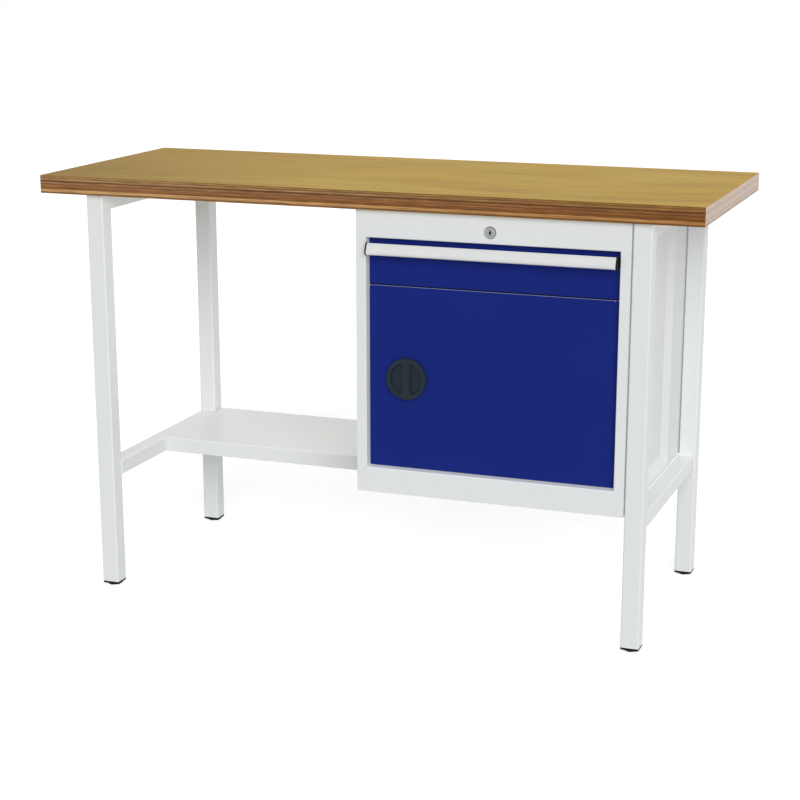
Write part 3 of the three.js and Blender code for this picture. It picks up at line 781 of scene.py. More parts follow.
def makeRails():
    corner, segments = tubeSize["corner"], tubeSize["segments"]
    for level in ("upper", "lower"):
        for side in sides:
            node = f"{level}_rail_{side}"
            low, high, middle = span(node)
            rings = []
            for y in (low.y - weldSize["seat"], high.y + weldSize["seat"]):
                rings.append(rectangleRing(
                    high.x - low.x, high.z - low.z, corner, segments,
                    lambda u, v: Vector((middle.x + u, y, middle.z + v))))
            settle(loft(f"{level}Rail.{side}", rings), *greySteel, [node], ease=0.0)
            for end in ("front", "back"):
                makeWelds(level, side, end)


# fillet welds round a rail's end: below and above it, and in the groove at each flank
weldSize = {"seat": 0.0001, "bead": 0.0018, "sink": 0.0006, "swell": 0.5}


def makeWelds(level, side, end):
    low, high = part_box(f"{level}_rail_{side}")
    legLow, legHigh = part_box(f"leg_{end}_{side}")
    inward = 1 if end == "front" else -1
    legFace = legHigh.y if end == "front" else legLow.y
    bead, sink, swell = weldSize["bead"], weldSize["sink"], weldSize["swell"]
    corner = tubeSize["corner"]
    weld = f"weld.{level}.{side}.{end}."
    levels = [("below", low.z, -1)] + ([("above", high.z, 1)] if level == "lower" else [])
    for name, z, up in levels:
        outline = [
            (legFace - inward * sink, z - up * sink, 0.0),
            (legFace - inward * sink, z + up * bead, 0.0),
            (legFace + inward * bead * 0.12, z + up * bead * 0.96, 0.0),
            (legFace + inward * bead * swell, z + up * bead * swell, 0.0008),
            (legFace + inward * bead * 0.96, z + up * bead * 0.12, 0.0),
            (legFace + inward * bead, z - up * sink, 0.0),
        ]
        run = barX(weld + name, roundedOutline(outline), low.x + corner, high.x - corner)
        settle(run, *greySteel, ease=0.0, angle=50)
    for name, railX, legX in (("left", low.x, legLow.x), ("right", high.x, legHigh.x)):
        out = -1 if name == "left" else 1
        proud = out * (railX - legX) > 0
        if proud:  # the rail stands out past the leg: fill the groove at the leg's rounded corner
            outline = [
                (legX - out * sink, legFace - inward * corner * 1.25, 0.0),
                (legX + out * 0.0003, legFace - inward * corner * 1.1, 0.0),
                (railX - out * 0.0004, legFace - inward * corner * 0.35, 0.0010),
                (railX + out * 0.0001, legFace + inward * corner * 0.3, 0.0),
                (railX - out * sink, legFace + inward * corner * 0.5, 0.0),
                (legX - out * corner, legFace + inward * sink, 0.0),
            ]
        else:  # the rail stands back from the leg's side: a fillet on the ledge
            outline = [
                (railX - out * sink, legFace - inward * sink, 0.0),
                (railX + out * bead * 0.8, legFace - inward * sink, 0.0),
                (railX + out * bead * swell * 0.8, legFace + inward * bead * swell, 0.0008),
                (railX + out * bead * 0.1, legFace + inward * bead * 0.96, 0.0),
                (railX - out * sink, legFace + inward * bead, 0.0),
            ]
        run = barZ(weld + name, roundedOutline(outline), low.z + corner, high.z - corner)
        settle(run, *greySteel, ease=0.0, angle=50)


makeLegs()
makeFeet()
makeRails()
print("end frames made")


# Fasteners

boltSize = {"headRadius": 0.0075, "headHeight": 0.005, "shank": 0.004, "pitch": 0.00125}
screwSize = {"headRadius": 0.0065, "headHeight": 0.004, "shank": 0.003}


def makeBolt(node, axis):
    # hexagon bolt: axis points from the head along the shank
    low, high, middle = span(node)
    along = Vector(axis)
    turn = Vector((0, 0, 1)).rotation_difference(along).to_matrix()
    length = abs((high - low).dot(along))
    start = middle - along * length / 2
    head = boltSize["headHeight"]

    def place(u, v, height):
        return start + turn @ Vector((u, v, height))

    radius = boltSize["headRadius"]
    rings = []
    for share, height in ((0.86, 0.0), (1.0, 0.0007), (1.0, head)):
        rings.append(circleRing(radius * share, 6, lambda u, v: place(u, v, height)))
    settle(loft("boltHead." + node, rings), "bench", "zinc_steel", zinc, [node], ease=0.0003)
    shank = boltSize["shank"]
    thread = [(shank * 0.7, head + 0.0002)]
    pitch = boltSize["pitch"]
    turns = int((length - head - 0.001) / pitch)
    for i in range(turns):
        base = head + 0.0004 + i * pitch
        thread += [(shank, base), (shank, base + pitch * 0.35), (shank * 0.87, base + pitch * 0.7)]
    thread += [(shank * 0.8, length - 0.0003)]
    settle(turned("boltShank." + node, thread, 20, place), "bench", "zinc_steel", zinc, ease=0.0)


def makeScrew(node):
    # pan head screw from below, with a crossed drive recess
    low, high, middle = span(node)
    radius, head = screwSize["headRadius"], screwSize["headHeight"]

    def place(u, v, height):
        return Vector((middle.x + u, middle.y + v, low.z + height))

    profile = [(radius * 0.35, 0.0)]
    for i in range(1, 7):
        angle = math.radians(15 * i)
        profile.append((radius * (0.35 + 0.65 * math.sin(angle)), head * 0.75 * (1 - math.cos(angle))))
    profile += [(radius, head), (screwSize["shank"], head), (screwSize["shank"], high.z - low.z - 0.004),
                (0.0003, high.z - low.z)]
    screw = turned("screw." + node, profile, 28, place)
    for name, width, depth in (("a", 0.0013, 0.0052), ("b", 0.0052, 0.0013)):
        slot = rectangleRing(width, depth, 0.0003, 2, lambda u, v: place(u, v, -0.001))
        floor = rectangleRing(width * 0.8, depth * 0.8, 0.0002, 2, lambda u, v: place(u, v, 0.0018))
        drilled(screw, loft("driveCutter." + name, [slot, floor]))
    settle(screw, "bench", "zinc_steel", zinc, [node], ease=0.0)


for number in ("1", "2"):
    makeBolt("shelf_rail_bolt_" + number, (-1, 0, 0))
    makeBolt("shelf_cabinet_bolt_" + number, (0, 0, 1))
    for side in sides:
        makeScrew(f"top_screw_{side}_{number}")
print("fasteners made")


# Shelf: a folded sheet with its lips down and a flange against the left rail

shelfSize = {"sheet": 0.0015, "bend": 0.0012, "flangeGap": 0.0002}


def makeShelf():
    low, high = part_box("shelf")
    sheet, bend = shelfSize["sheet"], shelfSize["bend"]
    path = [(high.y, low.z), (high.y, high.z), (low.y, high.z), (low.y, low.z)]
    tray = barX("shelfTray", foldedOutline(path, sheet, bend), low.x, high.x)
    settle(tray, *greySteel, ["shelf"])
    inner = sheet + shelfSize["flangeGap"]
    flange = [
        (low.y + inner, low.z, 0.0),
        (high.y - inner, low.z, 0.0),
        (high.y - inner, high.z - inner, bend),
        (low.y + inner, high.z - inner, bend),
    ]
    plate = barX("shelfFlange", roundedOutline(flange), low.x, low.x + sheet)
    settle(plate, *greySteel)


makeShelf()
print("shelf made")


# Cabinet shell: dished sides, back, bottom and roof

sideDish = {
    "sheet": 0.0015,
    "depth": 0.012,
    "slope": 0.027,
    "margin": 0.006,
    "width": 0.274,
    "shoulder": 0.012,
    "foot": 0.006,
    "corner": 0.004,
}


def dishProfile(dish):
    # (inset from the dish's edge, depth) with rounded shoulders and foot
    slope, depth, shoulder, foot = dish["slope"], dish["depth"], dish["shoulder"], dish["foot"]
    lean = math.atan2(depth, slope)
    half = math.tan(lean / 2)
    points = []
    for i in range(8):
        angle = lean * i / 7
        points.append((shoulder * (math.sin(angle) - half), shoulder * (1 - math.cos(angle))))
    for i in range(6):
        angle = lean * (1 - i / 5)
        points.append((slope - foot * (math.sin(angle) - half), depth - foot * (1 - math.cos(angle))))
    return points


def dishedSheet(name, dish, sheetSpan, dishSpan, outward, place):
    # flat sheet with a pressed dish, place turns (u, v, distance behind the face) into a point
    def ring(size, inset, radius, depth):
        wide, tall = size[0] - 2 * inset, size[1] - 2 * inset
        return rectangleRing(wide, tall, radius, 4, lambda u, v: place(u, v, depth))

    def dished(inset, depth, behind):
        radius = max(dish["corner"] + 0.4 * (dish["slope"] - inset), 0.002)
        return ring(dishSpan, inset, radius, (-depth if outward else depth) + behind)

    rings = [dished(inset, depth, 0.0) for inset, depth in reversed(dishProfile(dish))]
    rings.append(ring(sheetSpan, 0.0, 0.0006, 0.0))
    rings.append(ring(sheetSpan, 0.0, 0.0006, dish["sheet"]))
    rings += [dished(inset, depth, dish["sheet"]) for inset, depth in dishProfile(dish)]
    return loft(name, rings)


def makeSide(side):
    node = f"cabinet_{side}_side"
    low, high, middle = span(node)
    inward = 1 if side == "left" else -1
    face = low.x if side == "left" else high.x
    height = high.z - low.z
    panel = dishedSheet(
        "cabinetSide." + side, sideDish, (high.y - low.y, height),
        (sideDish["width"], height - 2 * sideDish["margin"]), False,
        lambda u, v, depth: Vector((face + inward * depth, middle.y + u, middle.z + v)))
    settle(panel, *greySteel, [node], ease=0.0, angle=60)


backDish = {
    "sheet": 0.0015,
    "depth": 0.003,
    "slope": 0.009,
    "margin": 0.042,
    "shoulder": 0.006,
    "foot": 0.004,
    "corner": 0.016,
}
backRivet = {"radius": 0.0033, "rise": 0.0013, "inset": 0.014, "rows": 4}


def makeBack():
    # back sheet with a raised field, riveted along its two upright edges
    low, high, middle = span("cabinet_back")
    wide, tall, margin = high.x - low.x, high.z - low.z, backDish["margin"]
    panel = dishedSheet(
        "cabinetBack", backDish, (wide, tall), (wide - 2 * margin, tall - 2 * margin), True,
        lambda u, v, depth: Vector((middle.x + u, high.y - depth, middle.z + v)))
    settle(panel, *greySteel, ["cabinet_back"], ease=0.0, angle=60)
    radius, rise, inset = backRivet["radius"], backRivet["rise"], backRivet["inset"]
    profile = [(radius, -0.0004), (radius, rise * 0.25)]
    for i in range(1, 6):
        angle = math.radians(18 * i)
        reach = max(radius * math.cos(angle), radius * 0.08)
        profile.append((reach, rise * (0.25 + 0.75 * math.sin(angle))))
    for side, x in (("left", low.x + inset), ("right", high.x - inset)):
        for row in range(backRivet["rows"]):
            z = low.z + inset + (tall - 2 * inset) * (row + 0.5) / backRivet["rows"]
            rivet = turned(f"backRivet.{side}.{row + 1}", profile, 20, lambda u, v, height: Vector(
                (x + u, high.y + height, z + v)))
            settle(rivet, *greySteel, ease=0.0)


for side in sides:
    makeSide(side)
makeBack()


def dress(node, finish, ease=0.0004):
    # a frame node that already has its shape: finish and eased edges
    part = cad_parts[node]
    for place in part.material_slots:
        place.material = finish
    edges = part.modifiers.new("ease", "BEVEL")
    edges.width = ease
    edges.segments = 2
    edges.limit_method = "ANGLE"
    edges.angle_limit = math.radians(40)


for node in ("cabinet_bottom", "cabinet_roof"):
    dress(node, greyPaint)
print("cabinet shell made")


# Front frame: folded stiles and rails with mitred corners

frontFrame = {"sheet": 0.0015, "bend": 0.0010, "seam": 0.00007, "lockHole": 0.0098}


def makeFrontFrame():
    sheet, bend, seam = frontFrame["sheet"], frontFrame["bend"], frontFrame["seam"]
    leftLow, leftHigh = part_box("frame_left_stile")
    rightLow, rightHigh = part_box("frame_right_stile")
    bottomLow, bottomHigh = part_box("frame_bottom_rail")
    topLow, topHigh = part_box("frame_top_rail")
    face, deep = leftLow.y, leftHigh.y
    openLeft, openRight = leftHigh.x, rightLow.x
    sill, head = bottomHigh.z, topLow.z

    def mitre(piece, x, z, dx, dz, gap):
        # keeps the side that (dx, dz) points away from
        normal = Vector((dx, 0, dz)).normalized()
        return trimmed(piece, Vector((x, face, z)) - normal * gap, normal)

    path = [(face, bottomLow.z), (face, sill), (deep, sill)]
    rail = barX("frontRail.bottom", foldedOutline(path[::-1], sheet, bend), bottomLow.x, bottomHigh.x)
    mitre(rail, openLeft, sill, -1, 1, seam)
    mitre(rail, openRight, sill, 1, 1, seam)
    settle(rail, *greySteel, ["frame_bottom_rail"])

    path = [(face, topHigh.z), (face, head), (deep, head)]
    rail = barX("frontRail.top", foldedOutline(path, sheet, bend), topLow.x, topHigh.x)
    mitre(rail, openLeft, head, -1, -1, 0.0)
    mitre(rail, openRight, head, 1, -1, 0.0)
    lockMiddle = span("lock_body")[2]
    bored(rail, Vector((lockMiddle.x, face, lockMiddle.z)), (0, 1, 0), frontFrame["lockHole"], 0.01)
    settle(rail, *greySteel, ["frame_top_rail"], ease=0.0)

    path = [(leftLow.x, face), (openLeft, face), (openLeft, deep)]
    stile = barZ("frontStile.left", foldedOutline(path, sheet, bend), bottomLow.z, topHigh.z)
    mitre(stile, openLeft, sill, 1, -1, seam)
    mitre(stile, openLeft, head, 1, 1, 0.0)
    settle(stile, *greySteel, ["frame_left_stile"], ease=0.0)

    path = [(openRight, deep), (openRight, face), (rightHigh.x, face)]
    stile = barZ("frontStile.right", foldedOutline(path, sheet, bend), bottomLow.z, topHigh.z)
    mitre(stile, openRight, sill, -1, -1, seam)
    mitre(stile, openRight, head, -1, 1, 0.0)
    settle(stile, *greySteel, ["frame_right_stile"], ease=0.0)


makeFrontFrame()
print("front frame made")


# Inside the cabinet

def makeInnerShelf():
    low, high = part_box("inner_shelf")
    path = [(high.y, low.z), (high.y, high.z), (low.y, high.z), (low.y, low.z)]
    tray = barX("innerShelf", foldedOutline(path, shelfSize["sheet"], shelfSize["bend"]), low.x, high.x)
    settle(tray, *greySteel, ["inner_shelf"])


dividerSize = {
    "setback": 0.0020,
    "drop": 0.0010,
    "lip": 0.00060,
    "flat": 0.004,
    "taper": 0.012,
    "nose": 0.00012,
    "strip": 0.009,
    "stripInset": 0.001,
    "stripGap": 0.0001,
    "stripRise": 0.0002,
}


def makeDivider():
    # sheet between drawer and door: a thin lip at the front, and behind it a black strip, painted shade that
    # darkens the gap above the lip
    low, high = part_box("divider")
    front, nose = low.y + dividerSize["setback"], dividerSize["nose"]
    foot = low.z - dividerSize["drop"]
    lip = foot + dividerSize["lip"]
    flat, taper, inset = front + dividerSize["flat"], front + dividerSize["taper"], dividerSize["stripInset"]
    outline = [
        (front, foot, nose),
        (flat, foot, 0.0),
        (taper, low.z, 0.0),
        (high.y, low.z, 0.0),
        (high.y, high.z, 0.0),
        (taper, high.z, 0.0),
        (flat, lip, 0.0),
        (front, lip, nose),
    ]
    sheet = barX("dividerSheet", roundedOutline(outline), low.x, high.x)
    for face in sheet.data.polygons:
        if face.center.y < flat:  # the lip, in a pale blue: painted reflection of the blue fronts' light
            face.material_index = 1
    settle(sheet, "bench", "grey_paint", [greyPaint, lipReflectionPaint], ["divider"])
    # black strip: painted shade, a dark sheet where the gap between drawer and door would be in shade
    back = front + dividerSize["strip"]
    climb = (back - flat) / (taper - flat)
    under, top = lip + dividerSize["stripGap"], high.z + dividerSize["stripRise"]
    outline = [
        (front + inset, under, 0.0),
        (flat, under, 0.0),
        (back, under + (high.z - lip) * climb, 0.0),
        (back, top, 0.0),
        (front + inset, top, 0.0004),
    ]
    strip = barX("dividerShadeStrip", roundedOutline(outline), low.x + inset, high.x - inset)
    settle(strip, *blackMoulding, ease=0.0)


makeInnerShelf()
makeDivider()
for side in sides:
    dress("inner_shelf_ledger_" + side, greyPaint)
for node in ("hinge_pin_lower", "hinge_pin_upper"):
    dress(node, zinc, ease=0.0005)
print("inside made")


# Fronts: folded pans with rounded edges

panSize = {"sheet": 0.0015, "bend": 0.0007, "corner": 0.0032, "segments": 5, "doorLower": 0.001}


def makePan(name, node, lower=0.0):
    # lower is how far the top edge stays below the frame's
    low, high, middle = span(node)
    width, height, depth = high.x - low.x, high.z - low.z - lower, high.y - low.y
    centre = middle.z - lower / 2
    sheet, bend, segments = panSize["sheet"], panSize["bend"], panSize["segments"]
    outer = sheet + bend
    steps = []  # inset, distance behind the face, from the inside out
    for i in range(segments + 1):
        angle = math.pi / 2 * i / segments
        steps.append((sheet + bend * (1 - math.sin(angle)), sheet + bend * (1 - math.cos(angle))))
    steps += [(sheet, depth), (0.0, depth)]
    for i in range(segments + 1):
        angle = math.pi / 2 * i / segments
        steps.append((outer * (1 - math.cos(angle)), outer * (1 - math.sin(angle))))
    rings = []
    for inset, behind in steps:
        rings.append(rectangleRing(
            width - 2 * inset, height - 2 * inset, max(panSize["corner"] - inset, 0.0006), segments,
            lambda u, v: Vector((middle.x + u, low.y + behind, centre + v))))
    return loft(name, rings)


def makeDoor():
    pan = makePan("doorPan", "door_panel", panSize["doorLower"])
    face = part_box("door_panel")[0].y
    for pin in ("hinge_pin_lower", "hinge_pin_upper"):
        pinLow, pinHigh, pinMiddle = span(pin)
        bored(pan, pinMiddle, (0, 0, 1), (pinHigh.x - pinLow.x) / 2 + 0.0003, 0.05)
    knobMiddle = span("door_knob")[2]
    bored(pan, Vector((knobMiddle.x, face, knobMiddle.z)), (0, 1, 0), 0.006, 0.01)
    settle(pan, "door", "blue_paint", bluePaint, ["door_panel"], ease=0.0, angle=50)


stiffener = {
    "sheet": 0.001,
    "crown": 0.040,
    "brim": 0.014,
    "height": 0.011,
    "lean": 0.006,
    "gap": 0.0002,
    "short": 0.03,
}


def makeStiffener():
    # hat section up the middle of the door's inside
    low, high, middle = span("door_panel")
    back = low.y + panSize["sheet"] + stiffener["gap"]
    crown = back + stiffener["height"]
    half, brim = stiffener["crown"] / 2, stiffener["brim"]
    x = middle.x
    path = [
        (x - half - brim, back),
        (x - half, back),
        (x - half + stiffener["lean"], crown),
        (x + half - stiffener["lean"], crown),
        (x + half, back),
        (x + half + brim, back),
    ]
    hat = barZ("doorStiffener", foldedOutline(path, stiffener["sheet"], 0.0006, 4),
               low.z + stiffener["short"], high.z - stiffener["short"])
    settle(hat, "door", "blue_paint", bluePaint)


makeDoor()
makeStiffener()
settle(makePan("drawerPan", "drawer_front"), "drawer", "blue_paint", bluePaint, ["drawer_front"],
       ease=0.0, angle=50)
print("fronts made")


# Rotary handle: a rimmed disc with a grip bar between two finger recesses

knobSize = {
    "rim": 0.0095,
    "bar": 0.0180,
    "recess": 0.008,
    "edge": 0.0022,
    "lip": 0.0011,
    "draft": 0.0012,
    "foot": 0.0010,
    "corner": 0.0022,
    "sides": 96,
    "arc": 28,
}


def recessOutline(radius, chord, corner, mirror):
    # an arc of the given radius closed by a chord, with rounded tips, in a fixed number of points
    tipAngle = math.acos((chord + corner) / (radius - corner))
    tip = (radius - corner) * Vector((math.cos(tipAngle), math.sin(tipAngle)))
    outline = []
    outline += arcPoints(Vector((0, 0)), -tipAngle, 2 * tipAngle, radius, knobSize["arc"])
    outline += arcPoints(tip, tipAngle, math.pi - tipAngle, corner, 6)[1:]
    outline += [Vector((chord, tip.y * (1 - 2 * i / 10))) for i in range(1, 10)]
    outline += arcPoints(Vector((tip.x, -tip.y)), math.pi, math.pi - tipAngle, corner, 6)[:-1]
    return [Vector((mirror * p.x, p.y)) for p in outline]


def makeKnob():
    low, high, middle = span("door_knob")
    radius = (high.x - low.x) / 2
    front, back = low.y, high.y
    edge, lip, foot = knobSize["edge"], knobSize["lip"], knobSize["foot"]
    bm = bmesh.new()

    def ringOf(points, y):
        return [bm.verts.new((middle.x + p.x, y, middle.z + p.y)) for p in points]

    def skin(ringA, ringB):
        for i in range(len(ringA)):
            j = (i + 1) % len(ringA)
            bm.faces.new((ringA[i], ringA[j], ringB[j], ringB[i]))

    def loopEdges(ring):
        return [bm.edges.get((ring[i], ring[i - 1])) or bm.edges.new((ring[i], ring[i - 1]))
                for i in range(len(ring))]

    def circle(r):
        return [Vector((p[0], p[1])) for p in circleRing(r, knobSize["sides"], lambda u, v: (u, v))]

    outside = []
    for i in range(7):
        angle = math.pi / 2 * i / 6
        reach = radius - edge * (1 - math.sin(angle))
        outside.append(ringOf(circle(reach), front + edge * (1 - math.cos(angle))))
    outside.append(ringOf(circle(radius), back - 0.0006))
    outside.append(ringOf(circle(radius - 0.0006), back))
    for a, b in zip(outside, outside[1:]):
        skin(a, b)
    bm.faces.new(outside[-1])
    rims = loopEdges(outside[0])
    for mirror in (1, -1):
        wall = []
        for i in range(5):  # rounded lip
            angle = math.pi / 2 * i / 4
            grow = lip * (1 - math.sin(angle))
            wall.append((grow, front + lip * (1 - math.cos(angle))))
        floor = front + knobSize["recess"]
        for i in range(5):  # rounded foot
            angle = math.pi / 2 * i / 4
            grow = -knobSize["draft"] - foot * (1 - math.cos(angle))
            wall.append((grow, floor - foot * (1 - math.sin(angle))))
        loops = []
        for grow, y in wall:
            outline = recessOutline(radius - knobSize["rim"] + grow, knobSize["bar"] / 2 - grow,
                                    knobSize["corner"] + grow * 0.5, mirror)
            loops.append(ringOf(outline, y))
        for a, b in zip(loops, loops[1:]):
            skin(a, b)
        bm.faces.new(loops[-1])
        rims += loopEdges(loops[0])
    bmesh.ops.triangle_fill(bm, use_beauty=True, use_dissolve=False, edges=rims)
    bmesh.ops.recalc_face_normals(bm, faces=bm.faces)
    mesh = bpy.data.meshes.new("knobDisc")
    bm.to_mesh(mesh)
    bm.free()
    disc = bpy.data.objects.new("knobDisc", mesh)
    scene.collection.objects.link(disc)
    settle(disc, "knob", "dark_plastic", darkPlastic, ["door_knob"], ease=0.0, angle=60)


makeKnob()
dress("latch_bar", zinc)
print("rotary handle made")


# Drawer: handle strip, end caps, tray and slides

handleSize = {
    "rise": 0.0006,
    "height": 0.0256,
    "topReach": 0.0262,
    "noseReach": 0.0374,
    "wall": 0.002,
    "lip": 0.0125,
    "webDrop": 0.0106,
    "flange": 0.010,
    "nose": 0.0068,
    "crest": 0.0007,
    "slots": [0.0030, 0.0168],
    "slotWidth": 0.0008,
    "slotDepth": 0.0009,
    "capGrow": 0.0011,
    "capCorner": 0.0035,
}


def makeHandle():
    # a flange on the drawer, a web forward from it and a leaning plate with a rounded nose
    low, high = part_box("drawer_handle")
    face, top = high.y, high.z + handleSize["rise"]
    bottom, wall = top - handleSize["height"], handleSize["wall"]
    crown, tip = face - handleSize["topReach"], face - handleSize["noseReach"]
    web, flange = top - handleSize["webDrop"], top - handleSize["webDrop"] - handleSize["flange"]
    nose, lip, crest = handleSize["nose"], handleSize["lip"], handleSize["crest"]

    def plate(drop, behind=0.0):
        # a point on the plate's outer face, or behind it
        return crown + (tip - crown) * drop / handleSize["height"] + behind, top - drop

    section = [(face, web, 0.0), (*plate(handleSize["webDrop"], wall), 0.0006)]
    section += [(*plate(0.0, wall), crest), (*plate(0.0), crest)]
    for drop in handleSize["slots"]:  # label slots
        half, deep = handleSize["slotWidth"] / 2, handleSize["slotDepth"]
        section += [(*plate(drop - half), 0.0002), (*plate(drop - half, deep), 0.0)]
        section += [(*plate(drop + half, deep), 0.0), (*plate(drop + half), 0.0002)]
    section += [
        (tip, bottom, nose),
        (tip + lip, bottom, 0.0006),
        (tip + lip, bottom + wall, 0.0006),
        (tip + wall * 1.2, bottom + wall, nose - wall),
        (*plate(handleSize["webDrop"] + wall, wall), 0.0006),
        (face - wall, web - wall, 0.0006),
        (face - wall, flange, 0.0006),
        (face, flange, 0.0),
    ]
    strip = barX("handleStrip", roundedOutline(section), low.x, high.x)
    settle(strip, "drawer", "pale_aluminium", paleAluminium, ["drawer_handle"], ease=0.0, angle=40)
    for side in sides:
        capLow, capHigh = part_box("handle_cap_" + side)
        grow, corner = handleSize["capGrow"], handleSize["capCorner"]
        outline = [
            (face, web + grow, 0.0),
            (crown + wall + 0.002, top + grow, 0.002),
            (crown - grow, top + grow, corner),
            (tip - grow * 1.3, bottom - grow * 0.6, nose + grow),
            (tip + lip + 0.002, bottom - grow * 0.6, 0.001),
            (face, flange, 0.001),
        ]
        cap = barX("handleCap." + side, roundedOutline(outline), capLow.x, capHigh.x)
        settle(cap, "drawer", "black_plastic", blackPlastic, ["handle_cap_" + side],
               ease=0.0005, angle=60)


traySize = {"sheet": 0.0015, "hem": 0.007, "bend": 0.0006}


def makeTray():
    for side in sides:
        node = f"drawer_{side}_side"
        low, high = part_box(node)
        hem = traySize["hem"]
        out = -1 if side == "left" else 1
        outer = (low if side == "left" else high).x * out
        path = [(outer, low.z), (outer, high.z), (outer - hem, high.z), (outer - hem, high.z - hem)]
        folded = foldedOutline(path, traySize["sheet"], traySize["bend"])
        outline = [Vector((out * p.x, p.y)) for p in folded]
        settle(barY("traySide." + side, outline, low.y, high.y), "drawer", "grey_paint", greyPaint, [node])
    for node in ("drawer_base", "drawer_back", "drawer_inner_front"):
        dress(node, greyPaint)


makeHandle()
makeTray()
for side in sides:
    for member in ("fixed", "middle", "inner"):
        dress(f"slide_{member}_{side}", zinc, ease=0.0005)
print("drawer made")


# Lock in the top rail

lockSize = {
    "flange": 0.013,
    "proud": 0.002,
    "barrel": 0.0095,
    "bore": 0.0058,
    "ring": 0.0075,
    "groove": 0.0014,
    "sides": 64,
    "slotWidth": 0.0025,
    "slotHeight": 0.0096,
    "wardRadius": 0.0027,
    "keyDepth": 0.007,
}


def makeLock():
    low, high, middle = span("lock_body")
    front = low.y

    def place(u, v, height):
        return Vector((middle.x + u, front + height, middle.z + v))

    proud, flange, dent = lockSize["proud"] - 0.0001, lockSize["flange"], lockSize["groove"]
    ring, bore, barrel = lockSize["ring"], lockSize["bore"], lockSize["barrel"]
    deep = high.y - front
    profile = [
        (bore, 0.0010), (bore + 0.0003, 0.0005),
        (ring - 0.0004, 0.0003), (ring - 0.0001, 0.0008), (ring + 0.0004, 0.0008), (ring + 0.0007, 0.0002),
        (flange - dent - 0.0006, 0.0), (flange - dent, 0.0003), (flange - dent + 0.0003, 0.0012),
        (flange - 0.0002, 0.0013), (flange, proud),
        (barrel, proud), (barrel, deep), (bore, deep),
    ]
    rings = [circleRing(r, lockSize["sides"], lambda u, v: place(u, v, h)) for r, h in profile]
    body = loft("lockBody", rings, closed=True)
    # the groove's outer wall and the rim take the darker metal: painted shade, standing in for the dark line
    # round the rim's bevel
    for face in body.data.polygons:
        reach = (Vector((face.center.x - middle.x, face.center.z - middle.z))).length
        if reach > flange - dent and face.center.y < front + proud:
            face.material_index = 1
    settle(body, "bench", "nickel", [nickel, groove], ["lock_body"], ease=0.0, angle=50)
    dress("lock_cam", zinc)


def makePlug():
    low, high, middle = span("lock_plug")
    radius = (high.x - low.x) / 2

    def place(u, v, height):
        return Vector((middle.x + u, low.y + height, middle.z + v))

    profile = [
        (radius - 0.0003, 0.0), (radius + 0.0001, 0.0003), (radius + 0.0002, 0.0006),
        (radius + 0.0002, 0.0014), (radius, 0.0016), (radius, high.y - low.y),
    ]
    plug = turned("lockPlug", profile, lockSize["sides"], place)
    slot = [rectangleRing(lockSize["slotWidth"], lockSize["slotHeight"], 0.0004, 3,
                          lambda u, v: place(u, v, h)) for h in (-0.001, lockSize["keyDepth"])]
    drilled(plug, loft("slotCutter", slot))
    ward = [circleRing(lockSize["wardRadius"], 24, lambda u, v: place(u, v, h))
            for h in (-0.001, lockSize["keyDepth"] - 0.0003)]
    drilled(plug, loft("wardCutter", ward))
    # the keyhole's walls and floor are black: painted shade in the hole
    for face in plug.data.polygons:
        keyholeShade = Vector((face.center.x - middle.x, face.center.z - middle.z)).length < radius * 0.98
        if keyholeShade and face.center.y > low.y + 0.0004 and face.center.y < high.y - 0.001:
            face.material_index = 1
    settle(plug, "lock", "nickel", [nickel, blackPlastic], ["lock_plug"], ease=0.0, angle=50)


makeLock()
makePlug()
print("lock made")


# Floor, light and camera

def makeFloor():
    floor = loft("floor", [circleRing(r, 64, lambda u, v: Vector((u, v, -0.0004 - h)))
                           for r, h in ((30.0, 0.01), (30.0, 0.0))])
    finish, tree, shader = newFinish("paleFloor")
    tree.nodes.remove(shader)
    output = tree.nodes["Material Output"]
    paper = addNode(tree, "ShaderNodeBsdfDiffuse", Color=(0.86, 0.86, 0.86, 1.0))
    bounce = addNode(tree, "ShaderNodeBsdfDiffuse", Color=(0.5, 0.5, 0.5, 1.0))
    glow = addNode(tree, "ShaderNodeEmission", Color=(1.0, 1.0, 1.0, 1.0), Strength=0.36)
    lit = tree.nodes.new("ShaderNodeAddShader")
    tree.links.new(paper.outputs[0], lit.inputs[0])
    tree.links.new(glow.outputs[0], lit.inputs[1])
    choice = tree.nodes.new("ShaderNodeMixShader")
    tree.links.new(seenDirectly(tree), choice.inputs[0])
    tree.links.new(bounce.outputs[0], choice.inputs[1])
    tree.links.new(lit.outputs[0], choice.inputs[2])
    tree.links.new(choice.outputs[0], output.inputs["Surface"])
    floor.data.materials.append(finish)


def seenDirectly(tree):
    # 1 for rays from the camera, from gloss and through glass
    path = tree.nodes.new("ShaderNodeLightPath")
    total = None
    for name in ("Is Camera Ray", "Is Glossy Ray", "Is Transmission Ray"):
        if total is None:
            total = path.outputs[name]
            continue
        larger = tree.nodes.new("ShaderNodeMath")
        larger.operation = "MAXIMUM"
        tree.links.new(total, larger.inputs[0])
        tree.links.new(path.outputs[name], larger.inputs[1])
        total = larger.outputs[0]
    return total


roomLight = {"ambient": 0.32}
lamps = {  # wide soft boxes, far enough away to light evenly; the fills stand for light from white walls
    "keyLamp": {"azimuth": 26.5, "elevation": 20.0, "power": 2.25, "softness": 44.0, "shadow": True},
    "sideFill": {"azimuth": 100.0, "elevation": 40.0, "power": 0.54, "softness": 25.0, "shadow": False},
    "topFill": {"azimuth": 0.0, "elevation": 85.0, "power": 0.70, "softness": 25.0, "shadow": False},
}


# a weak card between the cabinet and the left legs
sideCard = {"place": (-0.02, -0.10, 0.74), "depth": 0.40, "height": 0.26, "power": 0.60}


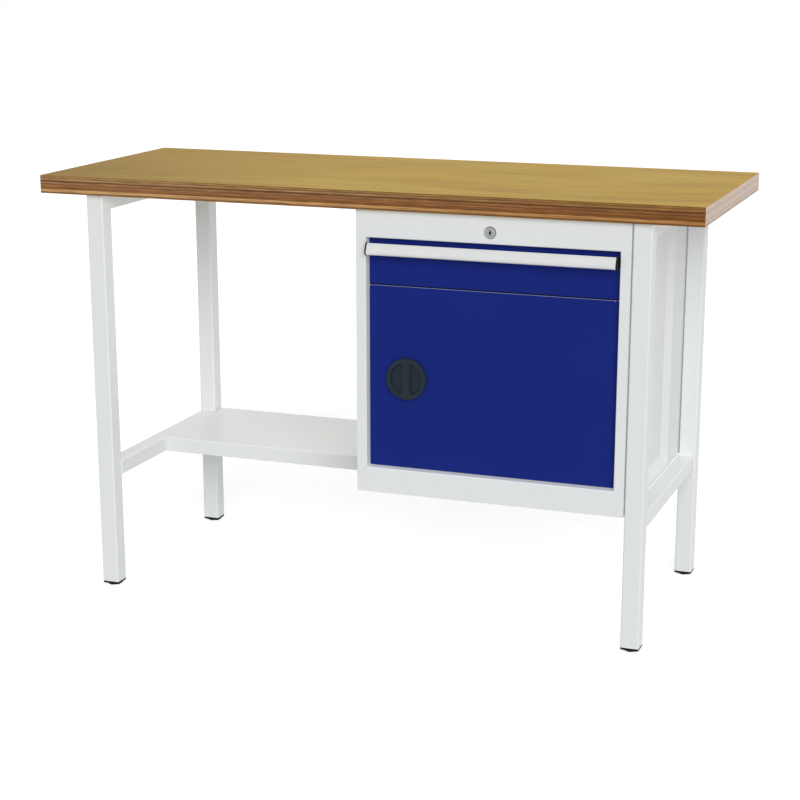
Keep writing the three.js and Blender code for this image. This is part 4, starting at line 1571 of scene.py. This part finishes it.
def makeLight():
    world = bpy.data.worlds.new("studio")
    scene.world = world
    world.use_nodes = True
    tree = world.node_tree
    background = tree.nodes["Background"]
    background.inputs["Color"].default_value = (1.0, 1.0, 1.0, 1.0)
    strength = remap(tree, seenDirectly(tree), 0.0, 1.0, roomLight["ambient"], 1.0)
    tree.links.new(strength, background.inputs["Strength"])
    for name, lamp in lamps.items():
        data = bpy.data.lights.new(name, "SUN")
        data.energy = lamp["power"]
        data.angle = math.radians(lamp["softness"])
        data.use_shadow = lamp["shadow"]
        light = bpy.data.objects.new(name, data)
        light.visible_glossy = False
        scene.collection.objects.link(light)
        azimuth, elevation = math.radians(lamp["azimuth"]), math.radians(lamp["elevation"])
        towards = Vector((math.sin(azimuth) * math.cos(elevation),
                          -math.cos(azimuth) * math.cos(elevation),
                          math.sin(elevation)))
        light.rotation_euler = towards.to_track_quat("Z", "Y").to_euler()
    data = bpy.data.lights.new("sideCard", "AREA")
    data.shape = "RECTANGLE"
    data.size = sideCard["depth"]
    data.size_y = sideCard["height"]
    data.energy = sideCard["power"]
    card = bpy.data.objects.new("sideCard", data)
    card.visible_camera = False
    card.visible_glossy = False
    card.location = sideCard["place"]
    card.rotation_euler = Vector((1, 0, 0)).to_track_quat("Z", "Y").to_euler()
    scene.collection.objects.link(card)


shot = {
    "place": (1.46551, -3.95185, 1.47054),
    "azimuth": 20.26,
    "elevation": 15.34,
    "lens": 84.278,
    "sensor": 36.0,
    "shiftX": -0.0050,
    "shiftY": 0.0627,
}


def makeCamera():
    data = bpy.data.cameras.new("camera")
    data.sensor_width = shot["sensor"]
    data.lens = shot["lens"]
    data.shift_x = shot["shiftX"]
    data.shift_y = shot["shiftY"]
    data.clip_end = 200.0
    camera = bpy.data.objects.new("camera", data)
    scene.collection.objects.link(camera)
    azimuth, elevation = math.radians(shot["azimuth"]), math.radians(shot["elevation"])
    ahead = Vector((-math.sin(azimuth) * math.cos(elevation),
                    math.cos(azimuth) * math.cos(elevation),
                    -math.sin(elevation)))
    camera.location = shot["place"]
    camera.rotation_euler = ahead.to_track_quat("-Z", "Y").to_euler()
    scene.camera = camera


makeFloor()
makeLight()
makeCamera()
scene.view_settings.view_transform = "Standard"
print("stage made")
